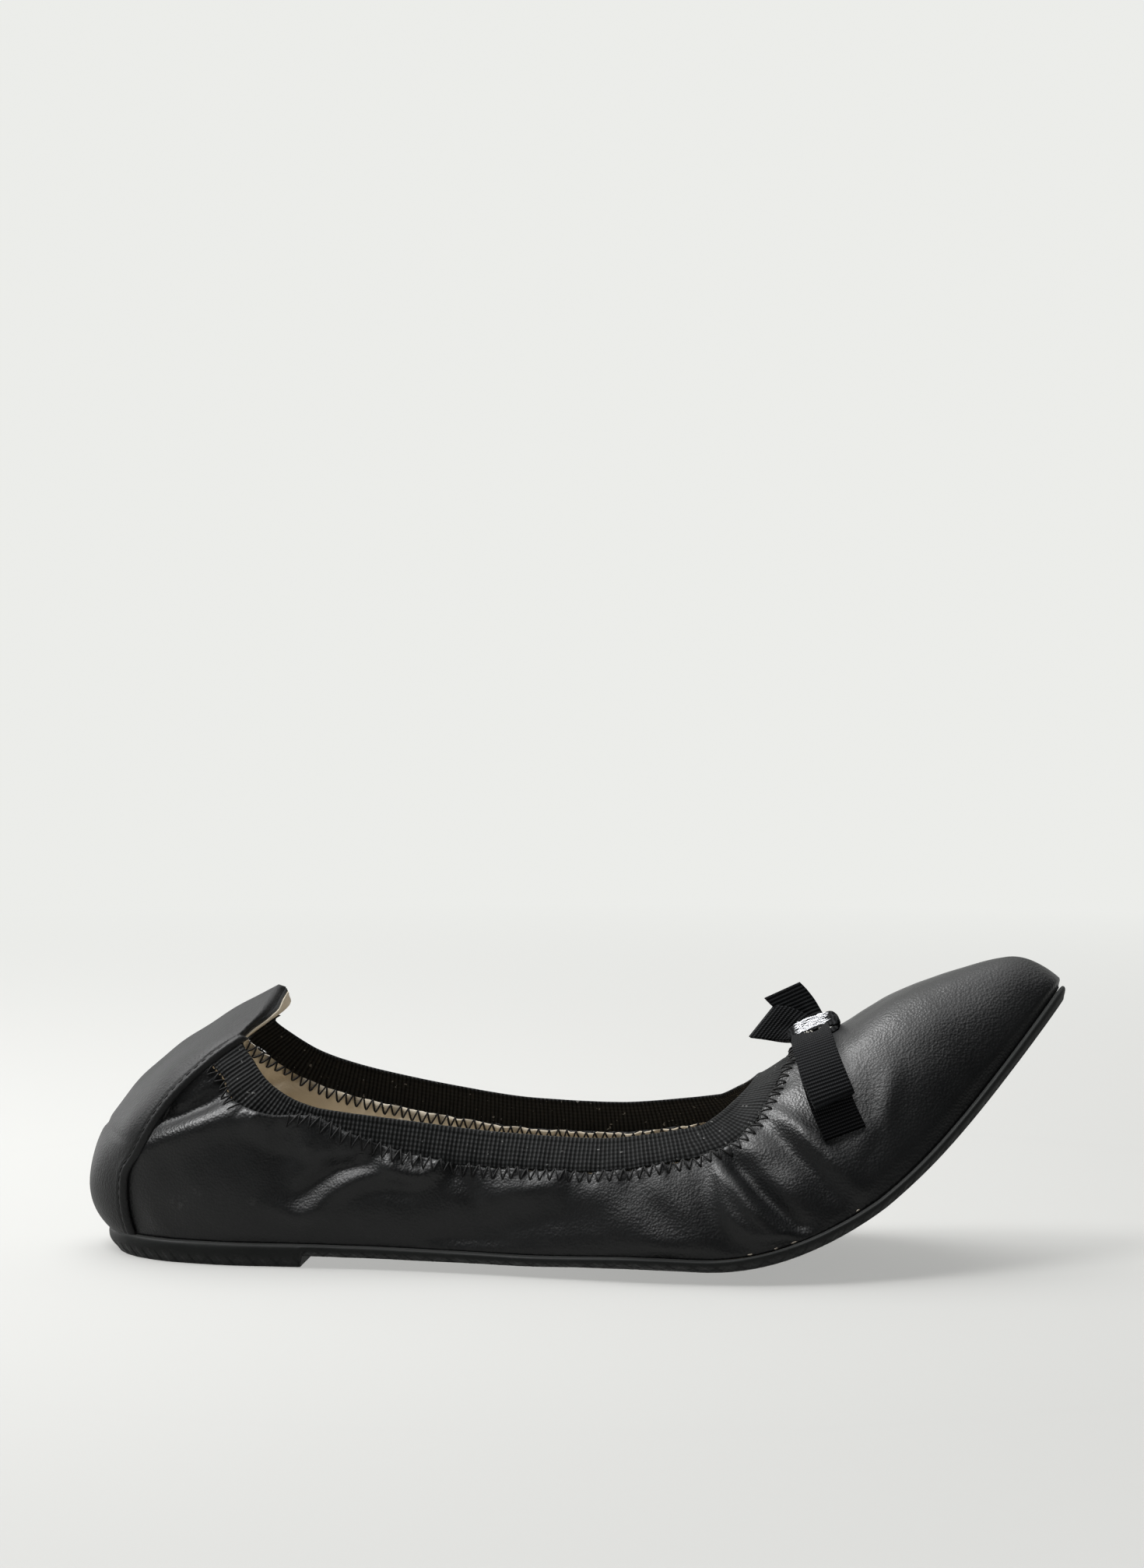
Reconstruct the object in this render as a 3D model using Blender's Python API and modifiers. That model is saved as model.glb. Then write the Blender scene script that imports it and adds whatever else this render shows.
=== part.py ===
"""Elastic-collared ballet flat with a pointed toe, a heel tab and a ribbon bow.

Right shoe. +X runs from heel to toe, +Y to the inner (big toe) side, +Z up. The origin is the centre
of the flat spot under the heel. The last is drawn unbent, in lengths along the sole, across it and
above it, and is then bent along the curve of the sole, which the pull of the elastic collar gives it.
"""
import math
from collections import namedtuple

import bmesh
import bpy
import numpy as np

MM = 0.001

# Driving sizes
SOLE_LENGTH = 248 * MM          # along the curve of the sole, heel to toe tip
BALL_WIDTH = 80 * MM            # outline of the upper at the ball, on the sole
LAST_HEIGHT = 38 * MM           # highest point of the vamp over the sole
TOE_SWING = 6 * MM              # the tip's shift to the inner side
HEEL_THICKNESS = 5.4 * MM
SOLE_THICKNESS = 2.8 * MM
HEEL_LENGTH = 49 * MM           # moulded heel, back edge to its step
HEEL_STEP_RUN = 0.5 * MM
SOLE_MARGIN = 0.9 * MM          # sole beyond the upper's foot
SOLE_ROUNDING = 2.4 * MM        # how far the sole's side slants in at the ground
CUP_HEIGHT = 24 * MM            # the upper's sides take up the sole's cupping within this height
WALL = 1.5 * MM                 # leather and lining together
INSOLE_THICKNESS = 1.6 * MM
PANEL_THICKNESS = 1.2 * MM      # heel panel with its tab
ELASTIC_WIDTH = 9.5 * MM
ELASTIC_THICKNESS = 1.0 * MM
RIBBON_WIDTH = 10 * MM
RIBBON_THICKNESS = 0.7 * MM
KNOT_LENGTH = 12.0 * MM         # along the shoe
KNOT_WIDTH = 7.0 * MM           # across it
GAP = 0.3 * MM                  # clearance between pieces that touch

# Curl of the sole by share of its length: degrees at the toe, relative weight at the waist
Curl = namedtuple("Curl", "share angle")
WAIST_CURL = (Curl(0.20, 0.0), Curl(0.28, 1.0), Curl(0.42, 1.0), Curl(0.50, 0.0))
TOE_CURL = (
    Curl(0.575, 0.0), Curl(0.62, 11.0), Curl(0.665, 23.0), Curl(0.735, 34.0),
    Curl(0.785, 41.0), Curl(0.84, 48.0), Curl(0.91, 52.0), Curl(1.00, 54.0),
)

# Lift of the sole's edges round the flat middle of the ball, in shares of the ball's width
Cup = namedtuple("Cup", "share lift")
CUP = (Cup(0.24, 0.0), Cup(0.40, 0.014), Cup(0.52, 0.030), Cup(0.62, 0.026), Cup(0.76, 0.0))
CUP_START = 0.40                # share of the half width where the lift begins

# Half widths of the foot of the upper as shares of the ball's width, by share of length
Outline = namedtuple("Outline", "share outer inner")
OUTLINE = (
    Outline(0.000, 0.000, 0.000),
    Outline(0.010, 0.135, 0.135),
    Outline(0.037, 0.245, 0.245),
    Outline(0.080, 0.318, 0.312),
    Outline(0.150, 0.356, 0.344),
    Outline(0.240, 0.358, 0.336),
    Outline(0.340, 0.388, 0.320),
    Outline(0.440, 0.448, 0.338),
    Outline(0.540, 0.500, 0.400),
    Outline(0.620, 0.512, 0.452),
    Outline(0.680, 0.497, 0.470),
    Outline(0.740, 0.455, 0.440),
    Outline(0.800, 0.390, 0.380),
    Outline(0.860, 0.310, 0.300),
    Outline(0.920, 0.219, 0.208),
    Outline(0.960, 0.150, 0.142),
    Outline(0.988, 0.080, 0.077),
    Outline(1.000, 0.000, 0.000),
)

# The last, a row for each line that climbs from the sole to the top centre line. Lengths along the
# shoe (foot, top, lean) are shares of the sole's length, lengths across (swell, shoulder) of the
# ball's width, and heights (height, rise, drop) of the last's height.
Line = namedtuple("Line", "foot top height swell_out swell_in rise lean shoulder drop")
LAST = (
    Line(0.000, 0.250, 1.72, 0.180, 0.180, 0.32, 0.232, 0.00, 0.56),
    Line(0.037, 0.262, 1.62, 0.085, 0.085, 0.37, 0.232, 0.47, 0.54),
    Line(0.090, 0.285, 1.50, 0.060, 0.065, 0.37, 0.180, 0.50, 0.48),
    Line(0.170, 0.330, 1.32, 0.050, 0.065, 0.32, 0.132, 0.48, 0.38),
    Line(0.265, 0.365, 1.18, 0.050, 0.080, 0.29, 0.064, 0.45, 0.27),
    Line(0.360, 0.420, 1.10, 0.050, 0.095, 0.29, 0.032, 0.42, 0.21),
    Line(0.460, 0.488, 1.07, 0.050, 0.080, 0.29, 0.012, 0.41, 0.16),
    Line(0.550, 0.560, 1.05, 0.045, 0.055, 0.31, 0.000, 0.39, 0.10),
    Line(0.620, 0.616, 1.02, 0.040, 0.045, 0.34, 0.000, 0.36, 0.05),
    Line(0.680, 0.676, 0.98, 0.030, 0.035, 0.38, 0.000, 0.33, 0.02),
    Line(0.744, 0.744, 0.98, 0.020, 0.022, 0.45, 0.000, 0.28, 0.00),
    Line(0.800, 0.812, 0.90, 0.015, 0.015, 0.45, 0.000, 0.24, 0.00),
    Line(0.860, 0.872, 0.78, 0.012, 0.012, 0.40, 0.000, 0.19, 0.00),
    Line(0.920, 0.924, 0.63, 0.012, 0.012, 0.33, 0.000, 0.13, 0.00),
    Line(0.960, 0.954, 0.53, 0.012, 0.012, 0.26, -0.004, 0.085, 0.01),
    Line(0.988, 0.974, 0.45, 0.014, 0.014, 0.20, -0.014, 0.040, 0.04),
    Line(1.000, 0.982, 0.41, 0.016, 0.016, 0.16, -0.026, 0.000, 0.10),
)

# Edge of the opening, from the tip of the heel tab to the throat: the line by the share of its foot,
# and the share of that line below the edge on either side
Edge = namedtuple("Edge", "foot outer inner")
TAB_EDGE = (Edge(0.000, 0.870, 0.870), Edge(0.020, 0.835, 0.840), Edge(0.037, 0.780, 0.790))
COLLAR_EDGE = (
    Edge(0.037, 0.780, 0.790),
    Edge(0.065, 0.740, 0.755),
    Edge(0.110, 0.670, 0.710),
    Edge(0.170, 0.634, 0.690),
    Edge(0.265, 0.640, 0.680),
    Edge(0.360, 0.640, 0.672),
    Edge(0.460, 0.640, 0.675),
    Edge(0.550, 0.680, 0.710),
    Edge(0.617, 0.760, 0.785),
    Edge(0.660, 0.845, 0.860),
    Edge(0.685, 0.922, 0.928),
    Edge(0.694, 1.000, 1.000),
)

# Side edge of the heel panel, from the sole up: share of the line climbed, share of its foot
PanelEdge = namedtuple("PanelEdge", "climb foot")
PANEL_EDGE = (PanelEdge(0.0, 0.037), PanelEdge(0.36, 0.037), PanelEdge(0.60, 0.041), PanelEdge(0.90, 0.041))

# Ribbons of the bow, each a path from the knot: the line of the last by the share of its foot, share
# of the line climbed, lift over the last in layers of ribbon with their gaps, share of the ribbon's
# full width, and its tilt out of the last's surface in degrees. The knot wraps layers 0 to 4.
Fold = namedtuple("Fold", "foot climb layer width tilt")
KNOT_FOOT = 0.785
LOOP_NEAR = (
    Fold(KNOT_FOOT, 0.994, 3.0, 0.78, 0),
    Fold(KNOT_FOOT, 0.940, 3.0, 0.82, 0),
    Fold(0.784, 0.870, 4.1, 0.98, 0),
    Fold(0.782, 0.740, 5.0, 1.00, 0),
    Fold(0.778, 0.600, 4.6, 1.00, 0),
    Fold(0.775, 0.490, 3.4, 1.00, 0),
    Fold(0.774, 0.442, 2.2, 1.00, 0),
    Fold(0.775, 0.490, 1.2, 1.00, 0),
    Fold(0.778, 0.620, 1.1, 1.00, 0),
    Fold(0.783, 0.800, 1.3, 0.95, 0),
    Fold(KNOT_FOOT, 0.935, 2.0, 0.80, 0),
    Fold(KNOT_FOOT, 0.994, 2.0, 0.78, 0),
)
TAIL_NEAR = (
    Fold(KNOT_FOOT, 0.994, 1.0, 0.78, 0),
    Fold(KNOT_FOOT, 0.935, 1.0, 0.78, 0),
    Fold(0.782, 0.800, 0.2, 0.95, 0),
    Fold(0.776, 0.600, 0.1, 1.00, 0),
    Fold(0.769, 0.440, 0.2, 1.00, 0),
    Fold(0.763, 0.300, 1.0, 1.00, 0),
)
LOOP_FAR = (
    Fold(KNOT_FOOT, 0.994, 2.0, 0.78, 0),
    Fold(KNOT_FOOT, 0.955, 2.0, 0.78, 0),
    Fold(KNOT_FOOT, 0.918, 2.0, 0.78, 0),
    Fold(0.774, 0.880, 4.0, 0.96, 12),
    Fold(0.756, 0.860, 7.2, 1.00, 24),
    Fold(0.740, 0.842, 8.2, 1.00, 28),
    Fold(0.733, 0.835, 7.2, 1.00, 28),
    Fold(0.741, 0.840, 5.2, 1.00, 26),
    Fold(0.760, 0.862, 2.6, 1.00, 16),
    Fold(0.778, 0.888, 1.3, 0.88, 4),
    Fold(KNOT_FOOT, 0.918, 1.0, 0.78, 0),
    Fold(KNOT_FOOT, 0.955, 1.0, 0.78, 0),
    Fold(KNOT_FOOT, 0.994, 1.0, 0.78, 0),
)
TAIL_FAR = (
    Fold(KNOT_FOOT, 0.994, 3.0, 0.78, 0),
    Fold(KNOT_FOOT, 0.930, 3.0, 0.80, 0),
    Fold(0.781, 0.892, 6.6, 0.95, 6),
    Fold(0.774, 0.885, 11.0, 1.00, 10),
    Fold(0.769, 0.900, 15.5, 1.00, 8),
)

OUTER, INNER = -1, 1
SIDES = (OUTER, INNER)
ORIGIN_ALONG = HEEL_LENGTH / 2
STATIONS = 38                   # lines on each side of a full-length piece
ACROSS = (0, 0.08, 0.18, 0.30, 0.70, 0.82, 0.92, 1)  # points across the sole, its middle flat
HEEL_LINES = 8                  # lines on each side of the heel tab
CLIMBS = 9                      # points on each line of the upper and the heel panel
CORNER_STEP = 0.003             # stations between the tab's side and the first line of the collar


# Curves through tables


def station_of(share):
    """A station's place round the outline, 0 at the heel and 1 at the tip, from its share of length."""
    return np.arccos(np.clip(1 - 2 * np.asarray(share, float), -1, 1)) / math.pi


def share_of(station):
    return (1 - np.cos(math.pi * np.asarray(station, float))) / 2


def curve(knots, values, at):
    """A smooth curve through values at knots, read at the places given, with no overshoot."""
    knots, values, at = (np.asarray(v, float) for v in (knots, values, at))
    steps = np.diff(knots)
    slopes = np.diff(values) / steps
    tangents = np.empty_like(values)
    tangents[0], tangents[-1] = slopes[0], slopes[-1]
    same = slopes[:-1] * slopes[1:] > 0
    before, after = np.where(same, slopes[:-1], 1), np.where(same, slopes[1:], 1)
    w1, w2 = 2 * steps[1:] + steps[:-1], steps[1:] + 2 * steps[:-1]
    tangents[1:-1] = np.where(same, (w1 + w2) / (w1 / before + w2 / after), 0)
    at = np.clip(at, knots[0], knots[-1])
    i = np.clip(np.searchsorted(knots, at, side="right") - 1, 0, len(steps) - 1)
    t = (at - knots[i]) / steps[i]
    return (
        values[i] * (1 + 2 * t) * (1 - t) ** 2
        + values[i + 1] * t * t * (3 - 2 * t)
        + tangents[i] * steps[i] * t * (1 - t) ** 2
        - tangents[i + 1] * steps[i] * t * t * (1 - t)
    )


def column(table, name, station):
    """A column of a table, read at stations round the outline."""
    return curve(station_of([row[0] for row in table]), [getattr(row, name) for row in table], station)


def pick(side, outer, inner):
    return outer if side == OUTER else inner


# The bend of the sole


def spine_table(steps=500):
    """Place and angle of the top of the sole at even lengths, run on straight past both ends."""
    along = np.linspace(0, SOLE_LENGTH, steps + 1)
    share = along / SOLE_LENGTH
    step = SOLE_LENGTH / steps
    waist = curve([c.share for c in WAIST_CURL], [c.angle for c in WAIST_CURL], share)
    toe = np.radians(curve([c.share for c in TOE_CURL], [c.angle for c in TOE_CURL], share))
    fall = (HEEL_THICKNESS - SOLE_THICKNESS) / (((waist[1:] + waist[:-1]) / 2).sum() * step)
    angle = toe - waist * fall
    middle = (toe[1:] + toe[:-1]) / 2
    down = fall * (waist[1:] + waist[:-1]) / 2
    x = np.concatenate([[0], np.cumsum(np.cos(middle) * step)])
    z = HEEL_THICKNESS + np.concatenate([[0], np.cumsum((np.sin(middle) - down) * step)])
    run = SOLE_LENGTH / 10
    return (
        np.concatenate([[-run], along, [SOLE_LENGTH + run]]),
        np.concatenate([[-run], x, [x[-1] + run * math.cos(angle[-1])]]),
        np.concatenate([[HEEL_THICKNESS], z, [z[-1] + run * math.sin(angle[-1])]]),
        np.concatenate([[0], angle, [angle[-1]]]),
    )


SPINE = spine_table()


def cupping(along, across, up):
    """How far the sole's edge, and the foot of the upper on it, is lifted off the floor."""
    station = station_of(along / SOLE_LENGTH)
    lift = BALL_WIDTH * column(CUP, "lift", station)
    half = BALL_WIDTH * (column(OUTLINE, "outer", station) + column(OUTLINE, "inner", station)) / 2
    edge = np.clip((np.abs(across) / np.maximum(half, MM) - CUP_START) / (1 - CUP_START), 0, 1.1)
    return lift * edge * edge * np.clip(1 - up / CUP_HEIGHT, 0, 1.2)


def bend(along, across, up):
    """A point of the unbent shoe, in the shoe's own frame."""
    table_along, x, z, angle = SPINE
    up = up + cupping(along, across, up)
    turn = np.interp(along, table_along, angle)
    return np.stack([
        np.interp(along, table_along, x) - up * np.sin(turn) - ORIGIN_ALONG,
        across,
        np.interp(along, table_along, z) + up * np.cos(turn),
    ], -1)


def swing(along):
    """The centre line's shift to the inner side, which grows from the ball to the tip."""
    share = np.clip((np.asarray(along, float) / SOLE_LENGTH - 0.55) / 0.45, 0, 1)
    return TOE_SWING * share * share * (3 - 2 * share)


# The last


def outline(station, side):
    """The foot of the upper on the sole, along and across; past both ends it goes on round the other side."""
    folded = 1 - np.abs(1 - np.abs(station))
    beyond = (station < 0) | (station > 1)
    half = np.where(
        beyond,
        -BALL_WIDTH * column(OUTLINE, pick(side, "inner", "outer"), folded),
        BALL_WIDTH * column(OUTLINE, pick(side, "outer", "inner"), folded),
    )
    along = SOLE_LENGTH * share_of(folded)
    return along, side * half + swing(along)


def foot(station, side, margin=0.0):
    """The outline moved out by a margin, along and across, and its outward normal."""
    station = np.asarray(station, float)
    small = 1e-3
    along, across = outline(station, side)
    a0, c0 = outline(station - small, side)
    a1, c1 = outline(station + small, side)
    tangent = np.stack([a1 - a0, c1 - c0], -1)
    tangent /= np.linalg.norm(tangent, axis=-1, keepdims=True)
    normal = side * np.stack([-tangent[..., 1], tangent[..., 0]], -1)
    return along + normal[..., 0] * margin, across + normal[..., 1] * margin, normal


def last(station, climb, side):
    """A point on the outside of the upper: station round the outline, climb from the sole to the top."""
    station, climb = np.broadcast_arrays(np.asarray(station, float), np.asarray(climb, float))
    along, across, normal = foot(station, side)
    swell = BALL_WIDTH * column(LAST, pick(side, "swell_out", "swell_in"), station)
    rise = LAST_HEIGHT * column(LAST, "rise", station)
    top = SOLE_LENGTH * column(LAST, "top", station)
    height = LAST_HEIGHT * column(LAST, "height", station)
    lean = SOLE_LENGTH * column(LAST, "lean", station)
    shoulder = BALL_WIDTH * column(LAST, "shoulder", station)
    drop = LAST_HEIGHT * column(LAST, "drop", station)
    start = np.stack([along, across, np.full_like(along, GAP)], -1)
    low = start + np.stack([normal[..., 0] * swell, normal[..., 1] * swell, rise], -1)
    end = np.stack([top, swing(top), height], -1)
    high = end + np.stack([-lean, side * shoulder, -drop], -1)
    t = climb[..., None]
    point = start * (1 - t) ** 3 + 3 * low * t * (1 - t) ** 2 + 3 * high * t * t * (1 - t) + end * t ** 3
    return bend(point[..., 0], point[..., 1], point[..., 2])


def surface(station, climb, side):
    """Points of the last, their derivatives by station and by climb, and the outward normals."""
    small = 2e-3
    s0, s1 = np.clip(station - small, 0, 1), np.clip(station + small, 0, 1)
    c0, c1 = np.clip(climb - small, 0, 1), np.clip(climb + small, 0, 1)
    station, climb = np.broadcast_arrays(station, climb)
    by_station = (last(s1, climb, side) - last(s0, climb, side)) / (s1 - s0)[..., None]
    by_climb = (last(station, c1, side) - last(station, c0, side)) / (c1 - c0)[..., None]
    # The two sides meet squarely on the heel's centre line
    by_station = np.where((station <= 0)[..., None], by_station * np.array([0, 1, 0]), by_station)
    normal = side * np.cross(by_climb, by_station)
    return last(station, climb, side), by_station, by_climb, unit(normal)


def unit(vectors):
    return vectors / np.maximum(np.linalg.norm(vectors, axis=-1, keepdims=True), 1e-12)


def dot(a, b):
    return (a * b).sum(-1)


# The edge of the opening and the elastic below it


def tab_edge(station, side):
    """Climb of the heel tab's top edge."""
    return column(TAB_EDGE, pick(side, "outer", "inner"), station)


TAB_STATION = float(station_of(TAB_EDGE[-1].foot))


def collar_path(count, side):
    """Stations and climbs along the opening's edge, from the heel tab to the throat, closer at the throat."""
    rows = np.linspace(0, 1, len(COLLAR_EDGE))
    fine = np.linspace(0, 1, 400)
    station = curve(rows, station_of([row.foot for row in COLLAR_EDGE]), fine)
    climb = curve(rows, [getattr(row, pick(side, "outer", "inner")) for row in COLLAR_EDGE], fine)
    points = last(station, climb, side)
    length = np.concatenate([[0], np.cumsum(np.linalg.norm(np.diff(points, axis=0), axis=1))])
    at = length[-1] * (1 - (1 - np.linspace(0, 1, count)) ** 1.5)
    return np.interp(at, length, station), np.interp(at, length, climb)


def band(count, widths, side):
    """Stations and climbs of lines that run beside the opening's edge, the given widths away from it."""
    station, climb = collar_path(count, side)
    lines, done, steps = [], 0.0, 6
    held = np.clip(np.arange(count) / (0.08 * count), 0, 1)
    for width in widths:
        step = (width - done) / steps
        for _ in range(steps if step else 0):
            points, by_station, by_climb, normal = surface(station, climb, side)
            away = unit(side * np.cross(normal, np.gradient(points, axis=0)))
            a, b, c = dot(by_station, by_station), dot(by_station, by_climb), dot(by_climb, by_climb)
            p, q = dot(by_station, away), dot(by_climb, away)
            scale = a * c - b * b
            # The band ends along a line of the last at the heel tab, and crosses the ridge at the throat
            turn, drop = (c * p - b * q) / scale, (a * q - b * p) / scale
            turn[0], drop[0] = 0, -1 / np.sqrt(c[0])
            turn[-1], drop[-1] = 1 / np.sqrt(a[-1]), 0
            station = station + held * step * turn
            climb = np.minimum(climb + step * drop, 1.0)
        done = width
        lines.append((station, climb))
    return lines


BAND_COUNT = 38
SEAM = {side: band(BAND_COUNT, [ELASTIC_WIDTH + GAP], side)[0] for side in SIDES}


def upper_edge(station, side):
    """Climb of the upper's top edge: the heel tab, the seam under the elastic, then the closed vamp."""
    seam_station, seam_climb = SEAM[side]
    order = np.argsort(seam_station)
    on_seam = np.interp(station, seam_station[order], seam_climb[order])
    apex = seam_station[-1]
    return np.where(station <= TAB_STATION, tab_edge(station, side), np.where(station < apex, on_seam, 1.0))


# Meshes


def new_object(name, material, collection):
    obj = bpy.data.objects.new(name, bpy.data.meshes.new(name))
    collection.objects.link(obj)
    obj.data.materials.append(material)
    return obj


def fill_grid(work, rows, flip=False):
    """Quads over a grid of points, rows by columns."""
    verts = [[work.verts.new(point) for point in row] for row in rows]
    for low, high in zip(verts, verts[1:]):
        for i in range(len(low) - 1):
            corners = [low[i], low[i + 1], high[i + 1], high[i]]
            work.faces.new(corners[::-1] if flip else corners)
    return verts


def finish(work, obj, merge=1e-6):
    bmesh.ops.remove_doubles(work, verts=work.verts, dist=merge)
    bmesh.ops.dissolve_degenerate(work, edges=work.edges, dist=merge)
    work.to_mesh(obj.data)
    work.free()
    obj.data.shade_smooth()
    obj.data.set_sharp_from_angle(angle=math.radians(35))


def shell(obj, thickness, offset=-1.0):
    wall = obj.modifiers.new("Wall", "SOLIDIFY")
    wall.thickness = thickness
    wall.offset = offset
    wall.use_quality_normals = True


def slab(name, stations, levels, material, collection):
    """A closed piece with the sole's outline: a margin and a height for each ring, from the bottom up."""
    obj = new_object(name, material, collection)
    work = bmesh.new()
    rings = []
    for margin, up in levels:
        up = np.broadcast_to(up, stations.shape)
        edges = [np.stack([*foot(stations, side, margin)[:2], up], -1) for side in SIDES]
        rings.append(edges)
    loops = [np.concatenate([outer, inner[::-1], outer[:1]]) for outer, inner in rings]
    fill_grid(work, [bend(*loop.T) for loop in loops])
    for (outer, inner), flip in ((rings[0], True), (rings[-1], False)):
        fill_grid(work, [bend(*(outer * (1 - t) + inner * t).T) for t in ACROSS], flip)
    finish(work, obj)
    return obj


# Materials


def material(name, colour, roughness, metallic=0.0):
    made = bpy.data.materials.new(name)
    made.use_nodes = True
    shader = made.node_tree.nodes["Principled BSDF"]
    shader.inputs["Base Color"].default_value = (*colour, 1)
    shader.inputs["Roughness"].default_value = roughness
    shader.inputs["Metallic"].default_value = metallic
    return made


# Pieces


def sole_stations():
    """Stations for the sole, with a pair at the heel's step and the ends of the ball's flat spot."""
    step = np.array([HEEL_LENGTH, HEEL_LENGTH + HEEL_STEP_RUN]) / SOLE_LENGTH
    kept = station_of([*step, WAIST_CURL[-1].share, TOE_CURL[0].share])
    even = np.linspace(0, 1, STATIONS)
    clear = np.abs(even[:, None] - kept[None, :]).min(1) > 0.004
    return np.sort(np.concatenate([even[clear], kept]))


def make_outsole(rubber, collection):
    stations = sole_stations()
    heel = share_of(stations) * SOLE_LENGTH <= HEEL_LENGTH + HEEL_STEP_RUN / 2
    thickness = np.where(heel, HEEL_THICKNESS, SOLE_THICKNESS)
    profile = (
        (0.00, -1.00), (0.30, -0.80), (0.75, -0.62), (1.00, -0.40), (1.00, -0.12), (0.80, 0.00),
    )
    levels = [(SOLE_MARGIN - SOLE_ROUNDING * (1 - out), down * thickness) for out, down in profile]
    return slab("outsole", stations, levels, rubber, collection)


def make_insole(leather, collection):
    levels = [(-WALL - GAP, GAP), (-WALL - GAP, GAP + INSOLE_THICKNESS)]
    return slab("insole", np.linspace(0, 1, STATIONS), levels, leather, collection)


def upper_stations(side):
    """Stations for the upper: those of the seam under the elastic, and even ones at heel and toe."""
    seam = SEAM[side][0]
    heel = np.linspace(0, TAB_STATION, HEEL_LINES)
    corner = TAB_STATION + CORNER_STEP
    toe = np.linspace(seam[-1], 1, 20)
    return np.concatenate([heel, [corner], seam[seam > corner + CORNER_STEP], toe[1:]])


def make_upper(leather, collection):
    obj = new_object("upper", leather, collection)
    work = bmesh.new()
    for side in SIDES:
        stations = upper_stations(side)
        top = upper_edge(stations, side)
        grid = [last(stations, top * climb, side) for climb in np.linspace(0, 1, CLIMBS)]
        fill_grid(work, grid, flip=side == INNER)
    finish(work, obj)
    shell(obj, WALL)
    return obj


def make_elastic(elastic, collection, rows=4):
    """The band round the opening, from one side of the heel tab to the other."""
    obj = new_object("collar_elastic", elastic, collection)
    work = bmesh.new()
    widths = [ELASTIC_WIDTH * i / (rows - 1) for i in range(rows)]
    for side in SIDES:
        start = TAB_STATION + 3 * CORNER_STEP
        grid = []
        for station, climb in band(BAND_COUNT, widths, side):
            grid.append(last(np.maximum(station, start), climb, side))
        fill_grid(work, grid, flip=side == OUTER)
    finish(work, obj)
    shell(obj, ELASTIC_THICKNESS)
    return obj


def make_heel_panel(leather, collection):
    """The panel round the heel, whose top is the tab: the upper's own form, moved out."""
    obj = new_object("heel_panel", leather, collection)
    work = bmesh.new()
    for side in SIDES:
        grid = []
        for share in np.linspace(0, 1, CLIMBS):
            edge = station_of(curve([r.climb for r in PANEL_EDGE], [r.foot for r in PANEL_EDGE], share))
            stations = np.linspace(0, 1, HEEL_LINES) * edge
            top = column(TAB_EDGE, pick(side, "outer", "inner"), np.minimum(stations, TAB_STATION))
            points, _, _, normal = surface(stations, top * share, side)
            # The foot moves straight out, so that it stays over the sole
            normal[:, 2] *= np.clip(share / 0.15, 0, 1)
            grid.append(points + unit(normal) * GAP + np.array([0, 0, GAP * (share == 0)]))
        fill_grid(work, grid, flip=side == INNER)
    finish(work, obj)
    shell(obj, PANEL_THICKNESS, offset=1.0)
    return obj


def smooth_path(points, samples):
    """Rows of numbers read along a smooth curve through all of them."""
    points = np.asarray(points, float)
    ends = np.concatenate([[2 * points[0] - points[1]], points, [2 * points[-1] - points[-2]]])
    rows = []
    for p0, p1, p2, p3 in zip(ends, ends[1:], ends[2:], ends[3:]):
        for t in np.linspace(0, 1, samples, endpoint=False):
            rows.append(
                p1 + (p2 - p0) * t / 2 + (2 * p0 - 5 * p1 + 4 * p2 - p3) * t * t / 2
                + (3 * p1 - p0 - 3 * p2 + p3) * t ** 3 / 2
            )
    return np.array(rows + [points[-1]])


def lift_of(layer):
    """Height over the last of the middle of a layer of ribbon."""
    return GAP + RIBBON_THICKNESS / 2 + layer * (RIBBON_THICKNESS + GAP)


def ribbon_grid(folds, side, samples=3, across=3):
    """Points of a ribbon, in rows across it."""
    station = station_of([fold.foot for fold in folds])
    points, _, by_climb, normal = surface(station, np.array([fold.climb for fold in folds]), side)
    layer, width, tilt = (np.array([getattr(f, k) for f in folds])[:, None] for k in ("layer", "width", "tilt"))
    points = points + normal * lift_of(layer)
    along_shoe = -side * unit(np.cross(normal, by_climb))
    turned = along_shoe * np.cos(np.radians(tilt)) + normal * np.sin(np.radians(tilt))
    path = smooth_path(np.concatenate([points, turned, width], 1), samples)
    middle, turned, width = path[:, :3], path[:, 3:6], path[:, 6:]
    forward = unit(np.gradient(middle, axis=0))
    turned = unit(turned - forward * dot(turned, forward)[:, None])
    return [middle + turned * width * RIBBON_WIDTH * t for t in np.linspace(-0.5, 0.5, across)]


def make_ribbon(name, folds, side, fabric, collection):
    obj = new_object(name, fabric, collection)
    work = bmesh.new()
    fill_grid(work, ribbon_grid(folds, side))
    finish(work, obj)
    shell(obj, RIBBON_THICKNESS, offset=0.0)
    return obj


def make_knot(fabric, collection, around=28):
    """A short length of ribbon wrapped round the middle of the bow, on the ridge of the vamp."""
    obj = new_object("bow_knot", fabric, collection)
    station = station_of([KNOT_FOOT])
    points, by_station, _, normal = surface(station, np.array([1.0]), OUTER)
    forward, up = unit(by_station[0]), unit(normal[0] * np.array([1, 0, 1]))
    up = unit(up - forward * dot(up, forward))
    aside = np.cross(forward, up)
    low, high = lift_of(0), lift_of(4)
    turn = np.linspace(0, 2 * math.pi, around + 1)
    round_off = 0.5
    x = np.sign(np.cos(turn)) * np.abs(np.cos(turn)) ** round_off * KNOT_LENGTH / 2
    z = np.sign(np.sin(turn)) * np.abs(np.sin(turn)) ** round_off * (high - low) / 2 + (high + low) / 2
    ring = points[0] + x[:, None] * forward + z[:, None] * up
    work = bmesh.new()
    fill_grid(work, [ring + aside * KNOT_WIDTH * t for t in (-0.5, 0.0, 0.5)], flip=True)
    finish(work, obj)
    shell(obj, RIBBON_THICKNESS, offset=0.0)
    return obj


# Objects


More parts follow.
